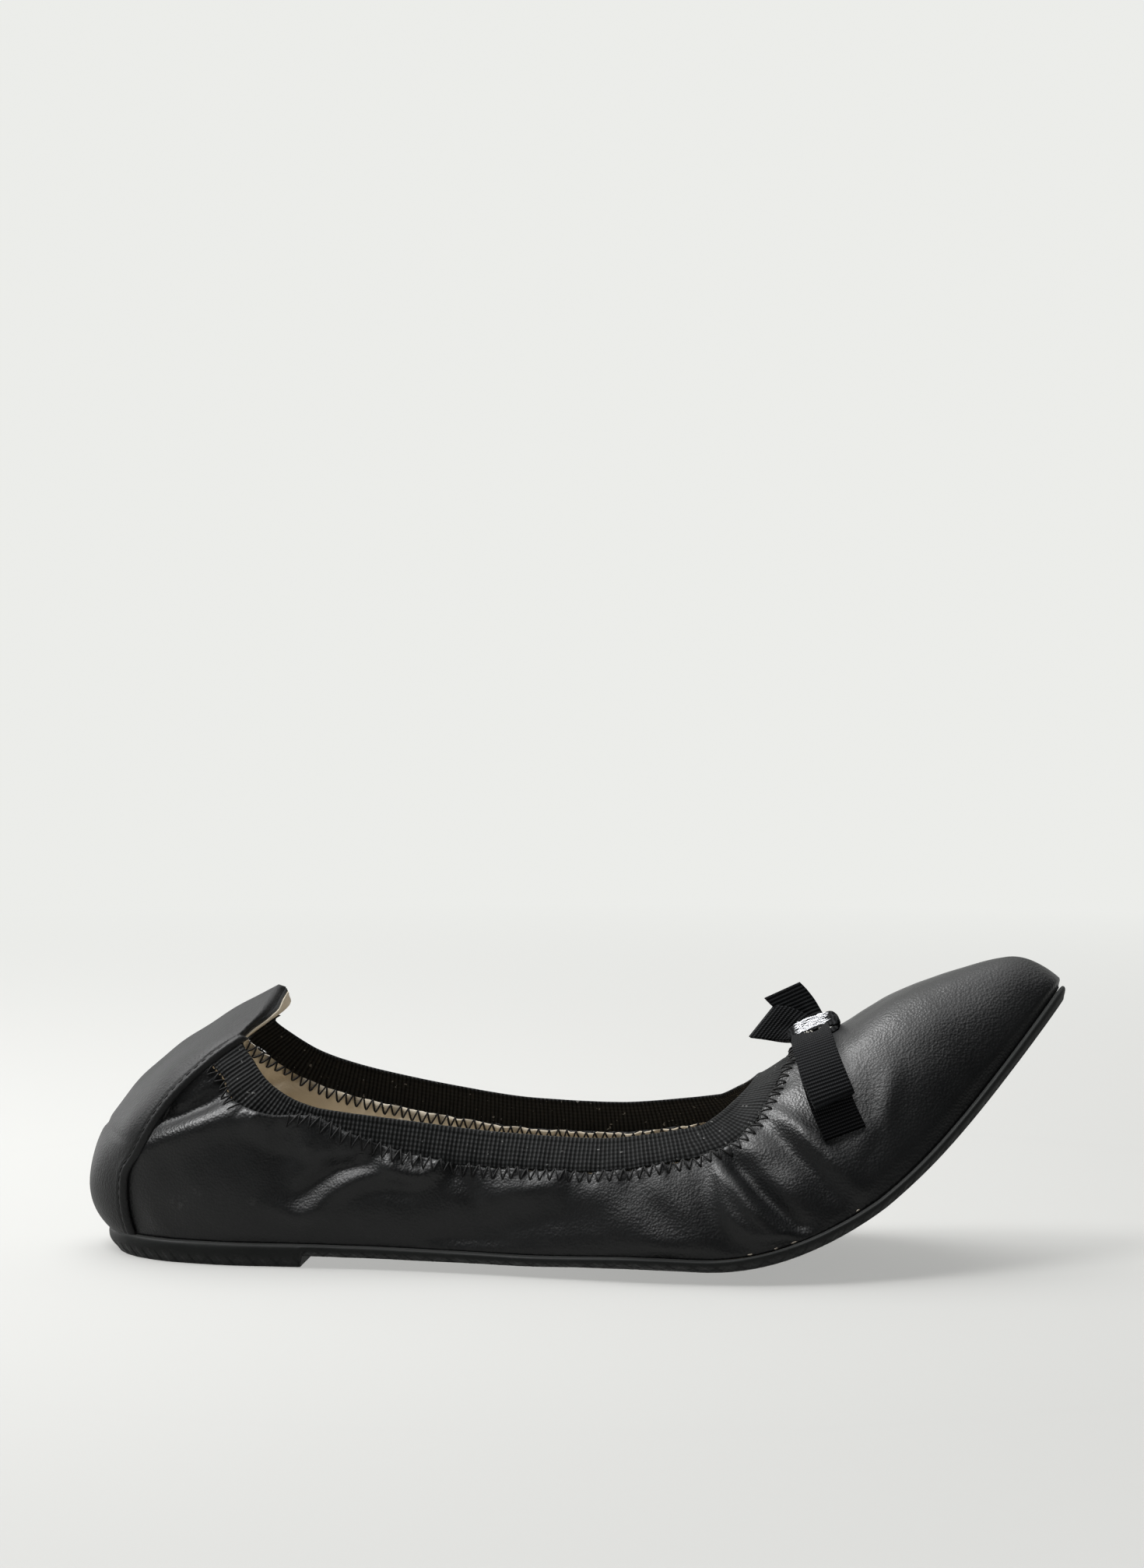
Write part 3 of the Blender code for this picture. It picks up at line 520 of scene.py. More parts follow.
def fold_height(points, creases):
    """Height in mm that the creases give to points."""
    plane = points[..., [0, 2]] / MM
    height = np.zeros(points.shape[:-1])
    for crease in creases:
        line = smooth_path(crease.path, 8)
        gap = np.linalg.norm(plane[..., None, :] - line, axis=-1)
        taper = np.sin(math.pi * np.linspace(0.06, 0.94, len(line))) ** 0.6
        height += FOLD_STRENGTH * crease.height * (taper * np.exp(-(gap / crease.width) ** 2)).max(-1)
    return height


def wander(points, length_mm, seed, waves=6):
    """A soft uneven wave through space, about -1 to 1, the same each run."""
    draw = np.random.default_rng(seed)
    total = np.zeros(points.shape[:-1])
    for _ in range(waves):
        direction = unit(draw.normal(size=3))
        phase, stretch = draw.uniform(0, 2 * math.pi), draw.uniform(0.75, 1.35)
        total += np.sin(2 * math.pi * (points / MM) @ direction / (length_mm * stretch) + phase)
    return total / math.sqrt(waves)


def fine_line(station, climb, count):
    """A band's line read at many more places."""
    at = np.linspace(0, len(station) - 1, count)
    knots = np.arange(len(station))
    return curve(knots, station, at), curve(knots, climb, at)


def arc_length(points):
    steps = np.linalg.norm(np.diff(points, axis=0), axis=1)
    return np.concatenate([[0], np.cumsum(steps)])


def seam_line(side, count=260):
    """The seam under the elastic: its points, and their distance in mm from the throat."""
    points = last(*fine_line(*SEAM[side], count), side)
    length = arc_length(points)
    return points, (length[-1] - length) / MM


SEAM_LINES = [seam_line(side) for side in SIDES]
SEAM_POINTS = np.concatenate([line[0] for line in SEAM_LINES])
SEAM_LENGTHS = np.concatenate([line[1] for line in SEAM_LINES])


def seam_gap(points, batch=2000):
    """Distance in mm to the seam, and the distance from the throat of the place nearest on it."""
    flat = points.reshape(-1, 3)
    gap, length = np.empty(len(flat)), np.empty(len(flat))
    for start in range(0, len(flat), batch):
        part = slice(start, start + batch)
        apart = np.linalg.norm(flat[part, None, :] - SEAM_POINTS, axis=-1)
        nearest = apart.argmin(-1)
        gap[part] = apart.min(-1) / MM
        length[part] = SEAM_LENGTHS[nearest]
    return gap.reshape(points.shape[:-1]), length.reshape(points.shape[:-1])


def puckers(points):
    """Small gathers along the seam, which the elastic pulls in."""
    gap, length = seam_gap(points)
    fine, broad = gathered(length, FINE_GATHERS), gathered(length, BROAD_GATHERS)
    return np.exp(-(gap / GATHER_REACH_MM) ** 1.2) * (fine * np.exp(-gap / FINE_REACH_MM) + broad)


def gathered(length, gathers):
    """Height of gathers at places along the seam."""
    total = 0
    for one in gathers:
        drift = one.drift * np.sin(length / one.drift_length)
        total = total + one.height * np.sin(2 * math.pi * length / one.length + drift)
    return total


def relief(points, climb):
    """Height in metres of the leather's folds over the last."""
    middle = swing_at(points)
    aside = (middle - points[..., 1]) / MM
    near = smoothstep(aside / SIDES_BLEND_MM + 0.5)
    folds = near * fold_height(points, OUTER_CREASES) + (1 - near) * fold_height(points, INNER_CREASES)
    on_vamp = smoothstep((points[..., 0] / MM - VAMP_FROM_MM) / VAMP_RUN_MM)
    soft = sum(one.height * wander(points, one.length, one.seed) for one in SWELLS)
    soft = soft * (1 - VAMP_CALM * on_vamp)
    beside = RIDGE_MM * on_vamp * (1 - np.exp(-(aside / RIDGE_REACH_MM) ** 2))
    rooted = smoothstep(climb / FOLD_ROOT)
    return MM * rooted * (folds + soft + beside + puckers(points) + bulges(points))


def bulges(points):
    """Height in mm by which the leather is rounder than the plain last."""
    total = np.zeros(points.shape[:-1])
    for one in BULGES:
        away = (points[..., [0, 2]] / MM - (one.along, one.up)) / (one.reach_along, one.reach_up)
        total += one.height * np.exp(-(away ** 2).sum(-1))
    return total


def swing_at(points):
    """The centre line's shift at points of the bent shoe."""
    return swing(np.interp(points[..., 0], SPINE[1] - ORIGIN_ALONG, SPINE[0]))


def flap(station, side):
    """How far the quarter's leather rides up over the elastic, 0 to 1, at stations."""
    points = last(station, upper_edge(station, side), side)
    along = points[..., 0] / MM
    kept = (station > TAB_STATION + 4 * CORNER_STEP) & (along < FLAP[-1].along)
    cover = curve([row.along for row in FLAP], [row.cover for row in FLAP], along)
    return np.where(kept, cover, 0.0)


def collar_climb(station, side):
    """Climb of the opening's edge at stations."""
    at, climb = collar_path(200, side)
    return np.interp(station, at, climb)


def skin(station, climb, side, over=None):
    """Points and normals of the leather's outer face."""
    points, _, by_climb, normal = surface(station, climb, side)
    normal = unit(np.where((climb >= 1)[..., None], normal * np.array([1, 0, 1]), normal))
    upright = unit(np.stack([by_climb[..., 2], np.zeros_like(climb), -by_climb[..., 0]], -1))
    at_tip = (np.broadcast_to(station, climb.shape) > TIP_STATION)[..., None]
    normal = np.where(at_tip, upright, normal)
    height = relief(points, climb)
    if over is not None:
        height = height + MM * over
    return points + normal * height[..., None], normal


def skin_grid(side, stations, shares):
    """The outer face of one side of the upper, in rows from the sole to the top edge."""
    top = upper_edge(stations, side)
    cover = flap(stations, side)
    edge = np.minimum(top + cover * np.maximum(collar_climb(stations, side) - top, 0), 1.0)
    lap = smoothstep(cover / FLAP_FULL)
    climb = shares[:, None] * edge[None, :]
    below = np.clip((top[None, :] - climb) / FLAP_SOFTNESS, 0, 1)
    over = FLAP_PUFF_MM * lap[None, :] * (1 - smoothstep(below))
    return skin(stations[None, :], climb, side, over)


# Meshes


def piece(name, grids, finish, nodes=(), flips=None, uvs=None, wall=0.0, offset=-1.0):
    """A smooth piece from grids of points, rows by columns, joined where they meet."""
    points, faces, spots, start = [], [], [], 0
    for number, grid in enumerate(grids):
        grid = np.asarray(grid, float)
        rows, columns = grid.shape[:2]
        index = start + np.arange(rows * columns).reshape(rows, columns)
        corners = (index[:-1, :-1], index[:-1, 1:], index[1:, 1:], index[1:, :-1])
        quads = np.stack(corners, -1).reshape(-1, 4)
        faces.append(quads[:, ::-1] if flips and flips[number] else quads)
        points.append(grid.reshape(-1, 3))
        if uvs:
            spots.append(np.asarray(uvs[number], float).reshape(-1, 2))
        start += rows * columns
    faces = np.concatenate(faces)
    mesh = bpy.data.meshes.new(name)
    mesh.from_pydata(np.concatenate(points).tolist(), [], faces.tolist())
    if uvs:
        layer = mesh.uv_layers.new(name="UVMap")
        layer.data.foreach_set("uv", np.concatenate(spots)[faces.ravel()].ravel())
    join_grids(mesh)
    mesh.shade_smooth()
    mesh.materials.append(finish)
    obj = linked(name, mesh)
    if wall:
        shell = obj.modifiers.new("Wall", "SOLIDIFY")
        shell.thickness = wall
        shell.offset = offset
        shell.use_quality_normals = True
    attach(obj, "root")
    if nodes:
        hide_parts(*nodes)


def linked(name, data):
    """A new object of the scene."""
    obj = bpy.data.objects.new(name, data)
    bpy.context.scene.collection.objects.link(obj)
    return obj


def join_grids(mesh):
    """Joins the grids where they meet, and takes out faces that lie twice between them."""
    work = bmesh.new()
    work.from_mesh(mesh)
    bmesh.ops.remove_doubles(work, verts=work.verts, dist=2e-6)
    bmesh.ops.dissolve_degenerate(work, edges=work.edges, dist=1e-7)
    twins = {}
    for face in work.faces:
        twins.setdefault(frozenset(face.verts), []).append(face)
    inside = [face for faces in twins.values() if len(faces) > 1 for face in faces]
    bmesh.ops.delete(work, geom=inside, context="FACES")
    work.to_mesh(mesh)
    work.free()


def threads(name, paths, normals, radius, finish, sides=6, ends=0.45):
    """Short lengths of thread, each a path of points with one normal, joined in one piece."""
    paths, normals = np.asarray(paths, float), np.asarray(normals, float)[:, None, :]
    count = paths.shape[1]
    forward = unit(np.gradient(paths, axis=1))
    aside = unit(np.cross(forward, np.broadcast_to(normals, forward.shape)))
    up = np.cross(aside, forward)
    along = np.abs(np.linspace(-1, 1, count))
    thick = radius * (ends + (1 - ends) * np.sqrt(np.clip(1 - along ** 4, 0, 1)))[:, None, None]
    turn = np.linspace(0, 2 * math.pi, sides + 1)[:, None]
    round_it = np.cos(turn) * up[:, :, None, :] + np.sin(turn) * aside[:, :, None, :]
    rings = paths[:, :, None, :] + thick * round_it
    tips = paths[:, [0, -1], None, :].repeat(sides + 1, 2)
    rings = np.concatenate([tips[:, :1], rings, tips[:, 1:]], 1)
    piece(name, list(rings), finish)


# Finishes


class Finish:
    """A material whose nodes are added and joined in one call each."""

    def __init__(self, name, colour, roughness, shine=0.5, sheen=0.0, metallic=0.0):
        self.material = bpy.data.materials.new(name)
        self.material.use_nodes = True
        self.tree = self.material.node_tree
        self.shader = self.tree.nodes["Principled BSDF"]
        self.coordinates = self.tree.nodes.new("ShaderNodeTexCoord")
        self.set(self.shader, {
            "Base Color": (*colour, 1), "Roughness": roughness, "Specular IOR Level": shine,
            "Sheen Weight": sheen, "Metallic": metallic,
        })

    def set(self, node, inputs):
        for name, value in inputs.items():
            socket = node.inputs[name]
            if isinstance(value, bpy.types.NodeSocket):
                self.tree.links.new(value, socket)
            else:
                socket.default_value = value

    def add(self, kind, inputs=None, output=0, **settings):
        node = self.tree.nodes.new("ShaderNode" + kind)
        for name, value in settings.items():
            setattr(node, name, value)
        self.set(node, inputs or {})
        return node.outputs[output]

    @property
    def place(self):
        return self.coordinates.outputs["Object"]

    def split(self, vector):
        """The three outputs of a vector's parts."""
        node = self.tree.nodes.new("ShaderNodeSeparateXYZ")
        self.set(node, {"Vector": vector})
        return node.outputs

    def noise(self, scale, detail=3.0, distortion=0.0, roughness=0.5):
        return self.add("TexNoise", {
            "Vector": self.place, "Scale": scale, "Detail": detail, "Distortion": distortion,
            "Roughness": roughness,
        })

    def cells(self, scale):
        return self.add("TexVoronoi", {"Vector": self.place, "Scale": scale})

    def ranged(self, value, low, high, start=0.0, end=1.0):
        """A value between low and high, brought between start and end."""
        return self.add("MapRange", {
            "Value": value, "From Min": low, "From Max": high, "To Min": start, "To Max": end,
        })

    def math(self, operation, first, second=0.0):
        return self.add("Math", {0: first, 1: second}, operation=operation)

    def mix(self, factor, first, second):
        inputs = {0: factor}
        for index, colour in ((6, first), (7, second)):
            inputs[index] = colour if isinstance(colour, bpy.types.NodeSocket) else (*colour, 1)
        return self.add("Mix", inputs, output=2, data_type="RGBA")

    def bump(self, height, depth, below=None, strength=1.0):
        inputs = {"Height": height, "Distance": depth, "Strength": strength}
        if below is not None:
            inputs["Normal"] = below
        return self.add("Bump", inputs)

    def near(self, spot_mm, radius_mm):
        """1 at a place on the shoe, falling to 0 at a radius."""
        return self.ranged(self.away([value * MM for value in spot_mm]), 0.0, radius_mm * MM, 1.0, 0.0)

    def away(self, spot):
        """Distance from a place."""
        return self.add("VectorMath", {0: self.place, 1: spot}, output=1, operation="DISTANCE")

    def use(self, colour, normal, roughness=None):
        self.set(self.shader, {"Base Color": colour, "Normal": normal})
        if roughness is not None:
            self.set(self.shader, {"Roughness": roughness})
        return self.material


Spot = namedtuple("Spot", "place radius")
SCUFFS = (
    Spot((2.7, -27.0, 28.5), 2.6), Spot((-3.5, -27.0, 15.5), 3.4), Spot((1.0, -29.0, 18.0), 2.2),
    Spot((14.0, -32.0, 16.0), 1.6),
)
SCUFF_COLOUR, SCUFF_STRENGTH = (0.12, 0.125, 0.12), 0.35
LINING_STAIN = Spot((17.5, 22.0, 43.0), 3.0)
STAIN_COLOUR = (0.10, 0.055, 0.028)
SOCK_WEAR = (Spot((0.0, 0.0, 7.0), 26.0), Spot((118.0, -6.0, 5.0), 34.0))
WORN_COLOUR = (0.20, 0.16, 0.11)
DUST_COLOUR, LINT_COLOUR = (0.04, 0.04, 0.037), (0.5, 0.5, 0.48)
TREAD_TURNS, TREAD_SCALE, TREAD_DEPTH = (0.7, -0.7), 75.0, 0.5 * MM


def leather_finish(name, dark, light, roughness):
    made = Finish(name, dark, roughness, shine=0.30)
    broad = made.noise(38.0, 4.0)
    grain = made.cells(1650.0)
    fine = made.noise(2600.0, 2.0)
    wrinkle = made.noise(190.0, 4.0, 0.5)
    tiny = made.noise(700.0, 4.0, 0.6)
    scuffed = made.noise(900.0, 6.0, 0.0, roughness=0.8)
    wear = None
    for scuff in SCUFFS:
        mark = made.math("MULTIPLY", made.near(*scuff), made.ranged(scuffed, 0.48, 0.66))
        wear = mark if wear is None else made.math("MAXIMUM", wear, mark)
    colour = made.mix(made.ranged(broad, 0.35, 0.7), dark, light)
    colour = made.mix(made.math("MULTIPLY", wear, SCUFF_STRENGTH), colour, SCUFF_COLOUR)
    normal = None
    for height, depth_mm in ((wrinkle, 0.03), (tiny, 0.01), (grain, 0.08), (fine, 0.03)):
        normal = made.bump(height, depth_mm * MM, normal)
    patchy = made.ranged(broad, 0.3, 0.75, roughness - 0.06, roughness + 0.08)
    return made.use(colour, normal, made.math("ADD", patchy, made.math("MULTIPLY", tiny, 0.08)))


def lining_finish():
    made = Finish("cream_lining", (0.40, 0.35, 0.28), 0.75, shine=0.3, sheen=0.15)
    broad = made.noise(30.0, 4.0)
    weave = made.noise(1500.0, 2.0)
    colour = made.mix(made.ranged(broad, 0.35, 0.7), (0.54, 0.485, 0.39), (0.42, 0.36, 0.27))
    stain = made.math("MULTIPLY", made.near(*LINING_STAIN), made.ranged(made.noise(500.0), 0.35, 0.6))
    colour = made.mix(stain, colour, STAIN_COLOUR)
    return made.use(colour, made.bump(weave, 0.08 * MM, made.bump(made.noise(300.0), 0.2 * MM)))


def sock_finish():
    made = Finish("sock_lining", (0.38, 0.33, 0.26), 0.7, shine=0.3, sheen=0.1)
    broad = made.noise(45.0, 5.0)
    worn = made.math("ADD", *(made.near(*spot) for spot in SOCK_WEAR))
    soiled = made.math("MULTIPLY", made.ranged(worn, 0.0, 1.0), made.ranged(broad, 0.25, 0.7))
    colour = made.mix(made.ranged(broad, 0.3, 0.75), (0.41, 0.36, 0.29), (0.34, 0.29, 0.215))
    colour = made.mix(soiled, colour, WORN_COLOUR)
    uneven = made.bump(made.noise(160.0, 4.0), 0.3 * MM)
    return made.use(colour, made.bump(made.cells(1400.0), 0.06 * MM, uneven))


def rubber_finish():
    """Matt rubber with fine crossed lines on its underside."""
    made = Finish("moulded_rubber", (0.010, 0.011, 0.010), 0.7, shine=0.18)
    broad = made.noise(60.0, 5.0)
    dust = made.noise(420.0, 6.0, roughness=0.7)
    colour = made.mix(made.ranged(broad, 0.35, 0.7), (0.006, 0.0068, 0.0065), (0.011, 0.012, 0.0116))
    colour = made.mix(made.math("MULTIPLY", made.ranged(dust, 0.58, 0.76), 0.25), colour, DUST_COLOUR)
    normal = made.bump(dust, 0.12 * MM)
    true_normal = made.add("NewGeometry", output=3)
    underneath = made.ranged(made.split(true_normal)[2], -0.35, -0.55)
    for turn in TREAD_TURNS:
        lines = made.add("Mapping", {"Vector": made.place, "Rotation": (0.0, 0.0, turn)})
        wave = made.add("TexWave", {"Vector": lines, "Scale": TREAD_SCALE, "Distortion": 0.0}, output=1)
        normal = made.bump(made.ranged(wave, 0.25, 0.75), TREAD_DEPTH, normal, underneath)
    return made.use(colour, normal, made.ranged(broad, 0.3, 0.7, 0.6, 0.78))


def woven_finish(name, dark, light, pitch_mm, rows_mm, shine, specks=0.0):
    """Cloth whose UVs are millimetres along and across, with ribs across it and finer rows along it."""
    made = Finish(name, dark, 0.8, shine)
    along, across, _ = made.split(made.coordinates.outputs["UV"])
    waver = made.math("MULTIPLY", made.noise(400.0, 2.0), 0.8)
    ribs = made.math("SINE", made.math("ADD", made.math("MULTIPLY", along, 2 * math.pi / pitch_mm), waver))
    rows = made.math("SINE", made.math("MULTIPLY", across, 2 * math.pi / rows_mm))
    ribs = made.ranged(ribs, -1.0, 1.0)
    rows = made.ranged(rows, -1.0, 1.0)
    fuzz = made.noise(1800.0, 3.0)
    colour = made.mix(made.math("MULTIPLY", ribs, made.ranged(fuzz, 0.3, 0.7, 0.6, 1.0)), dark, light)
    if specks:
        lint = made.ranged(made.noise(950.0, 1.0), 0.73, 0.77)
        colour = made.mix(made.math("MULTIPLY", lint, specks), colour, LINT_COLOUR)
    normal = None
    for height, depth_mm in ((ribs, 0.16), (rows, 0.07), (fuzz, 0.06)):
        normal = made.bump(height, depth_mm * MM, normal)
    return made.use(colour, normal, made.ranged(ribs, 0.0, 1.0, 0.85, 0.62))


def plain_finish(name, colour, roughness, scale=1600.0, depth=0.08 * MM, **extras):
    made = Finish(name, colour, roughness, **extras)
    dark, light = [value * 0.7 for value in colour], [min(value * 1.3, 1.0) for value in colour]
    return made.use(made.mix(made.noise(scale / 4), dark, light), made.bump(made.noise(scale), depth))


LEATHER = leather_finish("black_leather", (0.0018, 0.0021, 0.0023), (0.0032, 0.0037, 0.0040), 0.40)
PANEL_LEATHER = leather_finish(
    "glossy_black_leather", (0.0024, 0.0027, 0.0029), (0.0030, 0.0034, 0.0037), 0.58,
)
LINING = lining_finish()
SOCK = sock_finish()
RUBBER = rubber_finish()
ELASTIC = woven_finish(
    "ribbed_elastic", (0.0008, 0.0009, 0.0009), (0.011, 0.012, 0.012), 1.0, 1.15, 0.12, 0.2,
)
GROSGRAIN = woven_finish(
    "black_grosgrain", (0.0012, 0.0013, 0.0015), (0.0075, 0.0082, 0.0095), 0.95, 0.5, 0.08,
)
# A darker, duller copy of the grosgrain for the near tail: painted shade, standing in for the shade that
# the near loop casts on the tail
SHADED_GROSGRAIN = woven_finish(
    "black_grosgrain_painted_shade", (0.0007, 0.0007, 0.0008), (0.0020, 0.0021, 0.0024), 0.95, 0.5, 0.02,
)
THREAD = plain_finish("black_thread", (0.005, 0.005, 0.005), 0.7, shine=0.2)
PALE_THREAD = plain_finish("pale_frayed_thread", (0.42, 0.40, 0.36), 0.7)
SILVER = plain_finish("silver_thread", (0.55, 0.56, 0.58), 0.35, 2600.0, 0.2 * MM, metallic=0.75)
GLUE = plain_finish("dried_glue", (0.22, 0.19, 0.15), 0.4)


# The upper and its lining


def even_stations(count, samples=2000):
    """Stations at even lengths round the outline."""
    fine = np.linspace(0, 1, samples)
    length = sum(arc_length(np.stack(outline(fine, side), -1)) for side in SIDES)
    return np.interp(np.linspace(0, length[-1], count), length, fine)


def make_shell(name, faces, finish):
    """A layer of the upper, closed between the outer and the inner face of either side."""
    grids, flips = [], []
    for side, (outer, inner) in zip(SIDES, faces):
        grids += [outer, inner, np.stack([outer[-1], inner[-1]]), np.stack([inner[0], outer[0]])]
        flip = side == INNER
        flips += [flip, not flip, flip, flip]
    piece(name, grids, finish, ["upper"], flips)


def make_upper(columns=410, rows=48):
    stations, shares = even_stations(columns), np.linspace(0, 1, rows)
    faces = []
    for side in SIDES:
        outer, normal = skin_grid(side, stations, shares)
        faces.append((outer, outer - normal * LEATHER_THICKNESS))
    make_shell("leather_upper", faces, LEATHER)


def make_lining(columns=230, rows=32):
    stations, shares = even_stations(columns), np.linspace(0, 1, rows)
    faces = []
    for side in SIDES:
        climb = shares[:, None] * upper_edge(stations, side)[None, :]
        points, normal = skin(stations[None, :], climb, side)
        outer = points - normal * (LEATHER_THICKNESS + LINING_GAP)
        faces.append((outer, outer - normal * LINING_THICKNESS))
    make_shell("upper_lining", faces, LINING)


# The elastic and its stitches


# Relief across the elastic, in mm: its thick rim and the thin edge of it, its own gathers, and how far
# its sewn edge is tucked down
RIM_MM, RIM_EDGE_MM, TUCK_MM = 0.22, 0.35, 0.25
ELASTIC_GATHERS = (Gather(0.132, 6.1, 1.5, 13.0),)
SEWN_THINNER = 0.85             # the stretched band's share of its full thickness

STITCH_INSET = 0.3 * MM         # the zigzag's points in from the elastic's edge, and out on the leather
STITCH_OUTSET = 3.1 * MM
FOLDED_FROM_MM, FOLDED_TO_MM = 8.5, 22.0    # where the leather is folded in over its own zigzag
ZIGZAG_RADIUS, STITCH_RADIUS = 0.24 * MM, 0.2 * MM


def make_elastic(rows=20, count=520):
    widths = list(np.linspace(0, ELASTIC_WIDTH, rows))
    start = TAB_STATION + 3 * CORNER_STEP
    grids, uvs = [], []
    for side in SIDES:
        lines = [fine_line(*line, count) for line in band(BAND_COUNT, widths, side)]
        station = np.maximum(np.array([line[0] for line in lines]), start)
        climb = np.clip(np.array([line[1] for line in lines]), 0, 1)
        points, _, _, normal = surface(station, climb, side)
        shared = (climb >= 1)[..., None] | (np.arange(count) == count - 1)[None, :, None]
        normal = unit(np.where(shared, normal * np.array([1, 0, 1]), normal))
        across = np.array(widths)[:, None] / MM
        length = arc_length(points[rows // 2]) / MM
        length = length[-1] - length
        rim = RIM_MM * hump(across, 0.7, 0.6) - RIM_EDGE_MM * hump(across, 0.0, 0.35)
        waves = gathered(length, ELASTIC_GATHERS) * smoothstep(across * MM / ELASTIC_WIDTH)
        tucked = TUCK_MM * smoothstep((across - 7.5) / 2.0)
        grids.append(points + normal * ((rim + waves - tucked) * MM)[..., None])
        uvs.append(np.stack(np.broadcast_arrays(length[None, :], across), -1))
    flips = [side == OUTER for side in SIDES]
    piece(
        "sewn_elastic", grids, ELASTIC, ["collar_elastic"], flips, uvs,
        wall=ELASTIC_THICKNESS * SEWN_THINNER,
    )


def zigzag(side, inside, count=700):
    """Paths and normals of the zigzag that holds the elastic, on the leather or on the lining."""
    widths = [ELASTIC_WIDTH - STITCH_INSET, ELASTIC_WIDTH + STITCH_OUTSET]
    rails, normals = [], []
    depth = -(LEATHER_THICKNESS + LINING_GAP + LINING_THICKNESS) if inside else 0.0
    for line in band(BAND_COUNT, widths, side):
        station, climb = fine_line(*line, count)
        if not inside:
            rise = np.maximum(collar_climb(station, side) - upper_edge(station, side), 0)
            climb = climb + flap(station, side) * rise
        climb = np.clip(climb, 0, 1)
        over = FLAP_PUFF_MM * smoothstep(flap(station, side) / FLAP_FULL)
        points, normal = skin(station, climb, side, None if inside else over)
        rails.append(points + normal * depth)
        normals.append(-normal if inside else normal)
    length = arc_length(rails[0]) / MM
    stops = np.arange(2.0, length[-1] - 1.0, STITCH_PITCH_MM / 2)
    where = np.interp(stops, length, np.arange(count)).astype(int)
    paths, ups = [], []
    for number, (a, b) in enumerate(zip(where, where[1:])):
        first, second = number % 2, 1 - number % 2
        start, end = rails[first][a], rails[second][b]
        hidden = FOLDED_FROM_MM < start[0] / MM < FOLDED_TO_MM
        if hidden and not inside:
            continue
        up = unit(normals[0][a] + normals[1][a])
        steps = np.linspace(0, 1, 6)
        arch_mm = 0.16 + 0.26 * np.sin(math.pi * steps) - 0.34 * (np.abs(2 * steps - 1) ** 6)
        paths.append(start + (end - start) * steps[:, None] + up * arch_mm[:, None] * MM)
        ups.append(up)
    return paths, ups


def make_zigzags():
    for name, inside in (("zigzag_on_leather", False), ("zigzag_on_lining", True)):
        paths, ups = [], []
        for side in SIDES:
            more, normals = zigzag(side, inside)
            paths += more
            ups += normals
        threads(name, paths, ups, ZIGZAG_RADIUS, THREAD)


# The heel panel


PANEL_SPREAD = 0.0055           # share of length by which the slanting edge lies further forward
PANEL_RIM = 1.1 * MM            # rounding of its rim
PRESSED_LINE_MM = 25.5          # height up the panel of the line pressed across it


def panel_edge(share):
    """Station of the heel panel's side edge at a share of the way up."""
    foot_share = curve([row.climb for row in PANEL_EDGE], [row.foot for row in PANEL_EDGE], share)
    return station_of(foot_share + PANEL_SPREAD * smoothstep((share - PANEL_EDGE[1].climb) / 0.14))


def panel_point(share, across, side, lift):
    """Points of the heel panel: share of the way up, share of the way to its edge, and lift."""
    station = across * panel_edge(share)
    top = column(TAB_EDGE, pick(side, "outer", "inner"), np.minimum(station, TAB_STATION))
    points, _, _, normal = surface(station, top * share, side)
    level = np.ones_like(share)
    normal = normal * np.stack([level, level, np.clip(share / 0.15, 0, 1)], -1)
    return points + unit(normal) * lift[..., None], unit(normal)


def rounded(gap, radius):
    """Share of the full height at a gap from an edge that is rounded over a radius."""
    return np.sqrt(np.clip(1 - (1 - np.clip(gap / radius, 0, 1)) ** 2, 0, 1))


def make_heel_panel(rows=110, columns=56):
    share = np.linspace(0, 1, rows)[:, None] + np.zeros((1, columns))
    across = (1 - (1 - np.linspace(0, 1, columns)) ** 1.6)[None, :] + np.zeros((rows, 1))
    grids, flips = [], []
    for side in SIDES:
        base, _ = panel_point(share, across, side, np.full_like(share, GAP))
        width = np.array([arc_length(row) for row in base])
        to_side = width[:, -1:] - width
        rise = np.array([arc_length(base[:, i]) for i in range(columns)]).T
        rim = np.minimum(rounded(to_side, PANEL_RIM), rounded(rise[-1:] - rise, PANEL_RIM))
        aside = to_side / MM
        swell = 0.25 * hump(aside, 1.6, 1.0)
        groove = -0.35 * hump(aside, 1.9, 0.45)
        line = -0.35 * hump(rise / MM, PRESSED_LINE_MM, 1.1) * smoothstep(1.2 - across)
        uneven = 0.14 * wander(base, 16.0, 11) * smoothstep(aside / 4)
        lift = rim * (PANEL_THICKNESS + MM * (groove + line + swell + uneven))
        bulge = bulges(base) * MM * smoothstep(share / FOLD_ROOT)
        front, _ = panel_point(share, across, side, GAP + bulge + lift)
        back, _ = panel_point(share, across, side, GAP + bulge)
        grids += [front, back, np.stack([back[0], front[0]])]
        flips += [side == INNER, side == OUTER, side == INNER]
    piece("heel_counter", grids, PANEL_LEATHER, ["heel_panel"], flips)


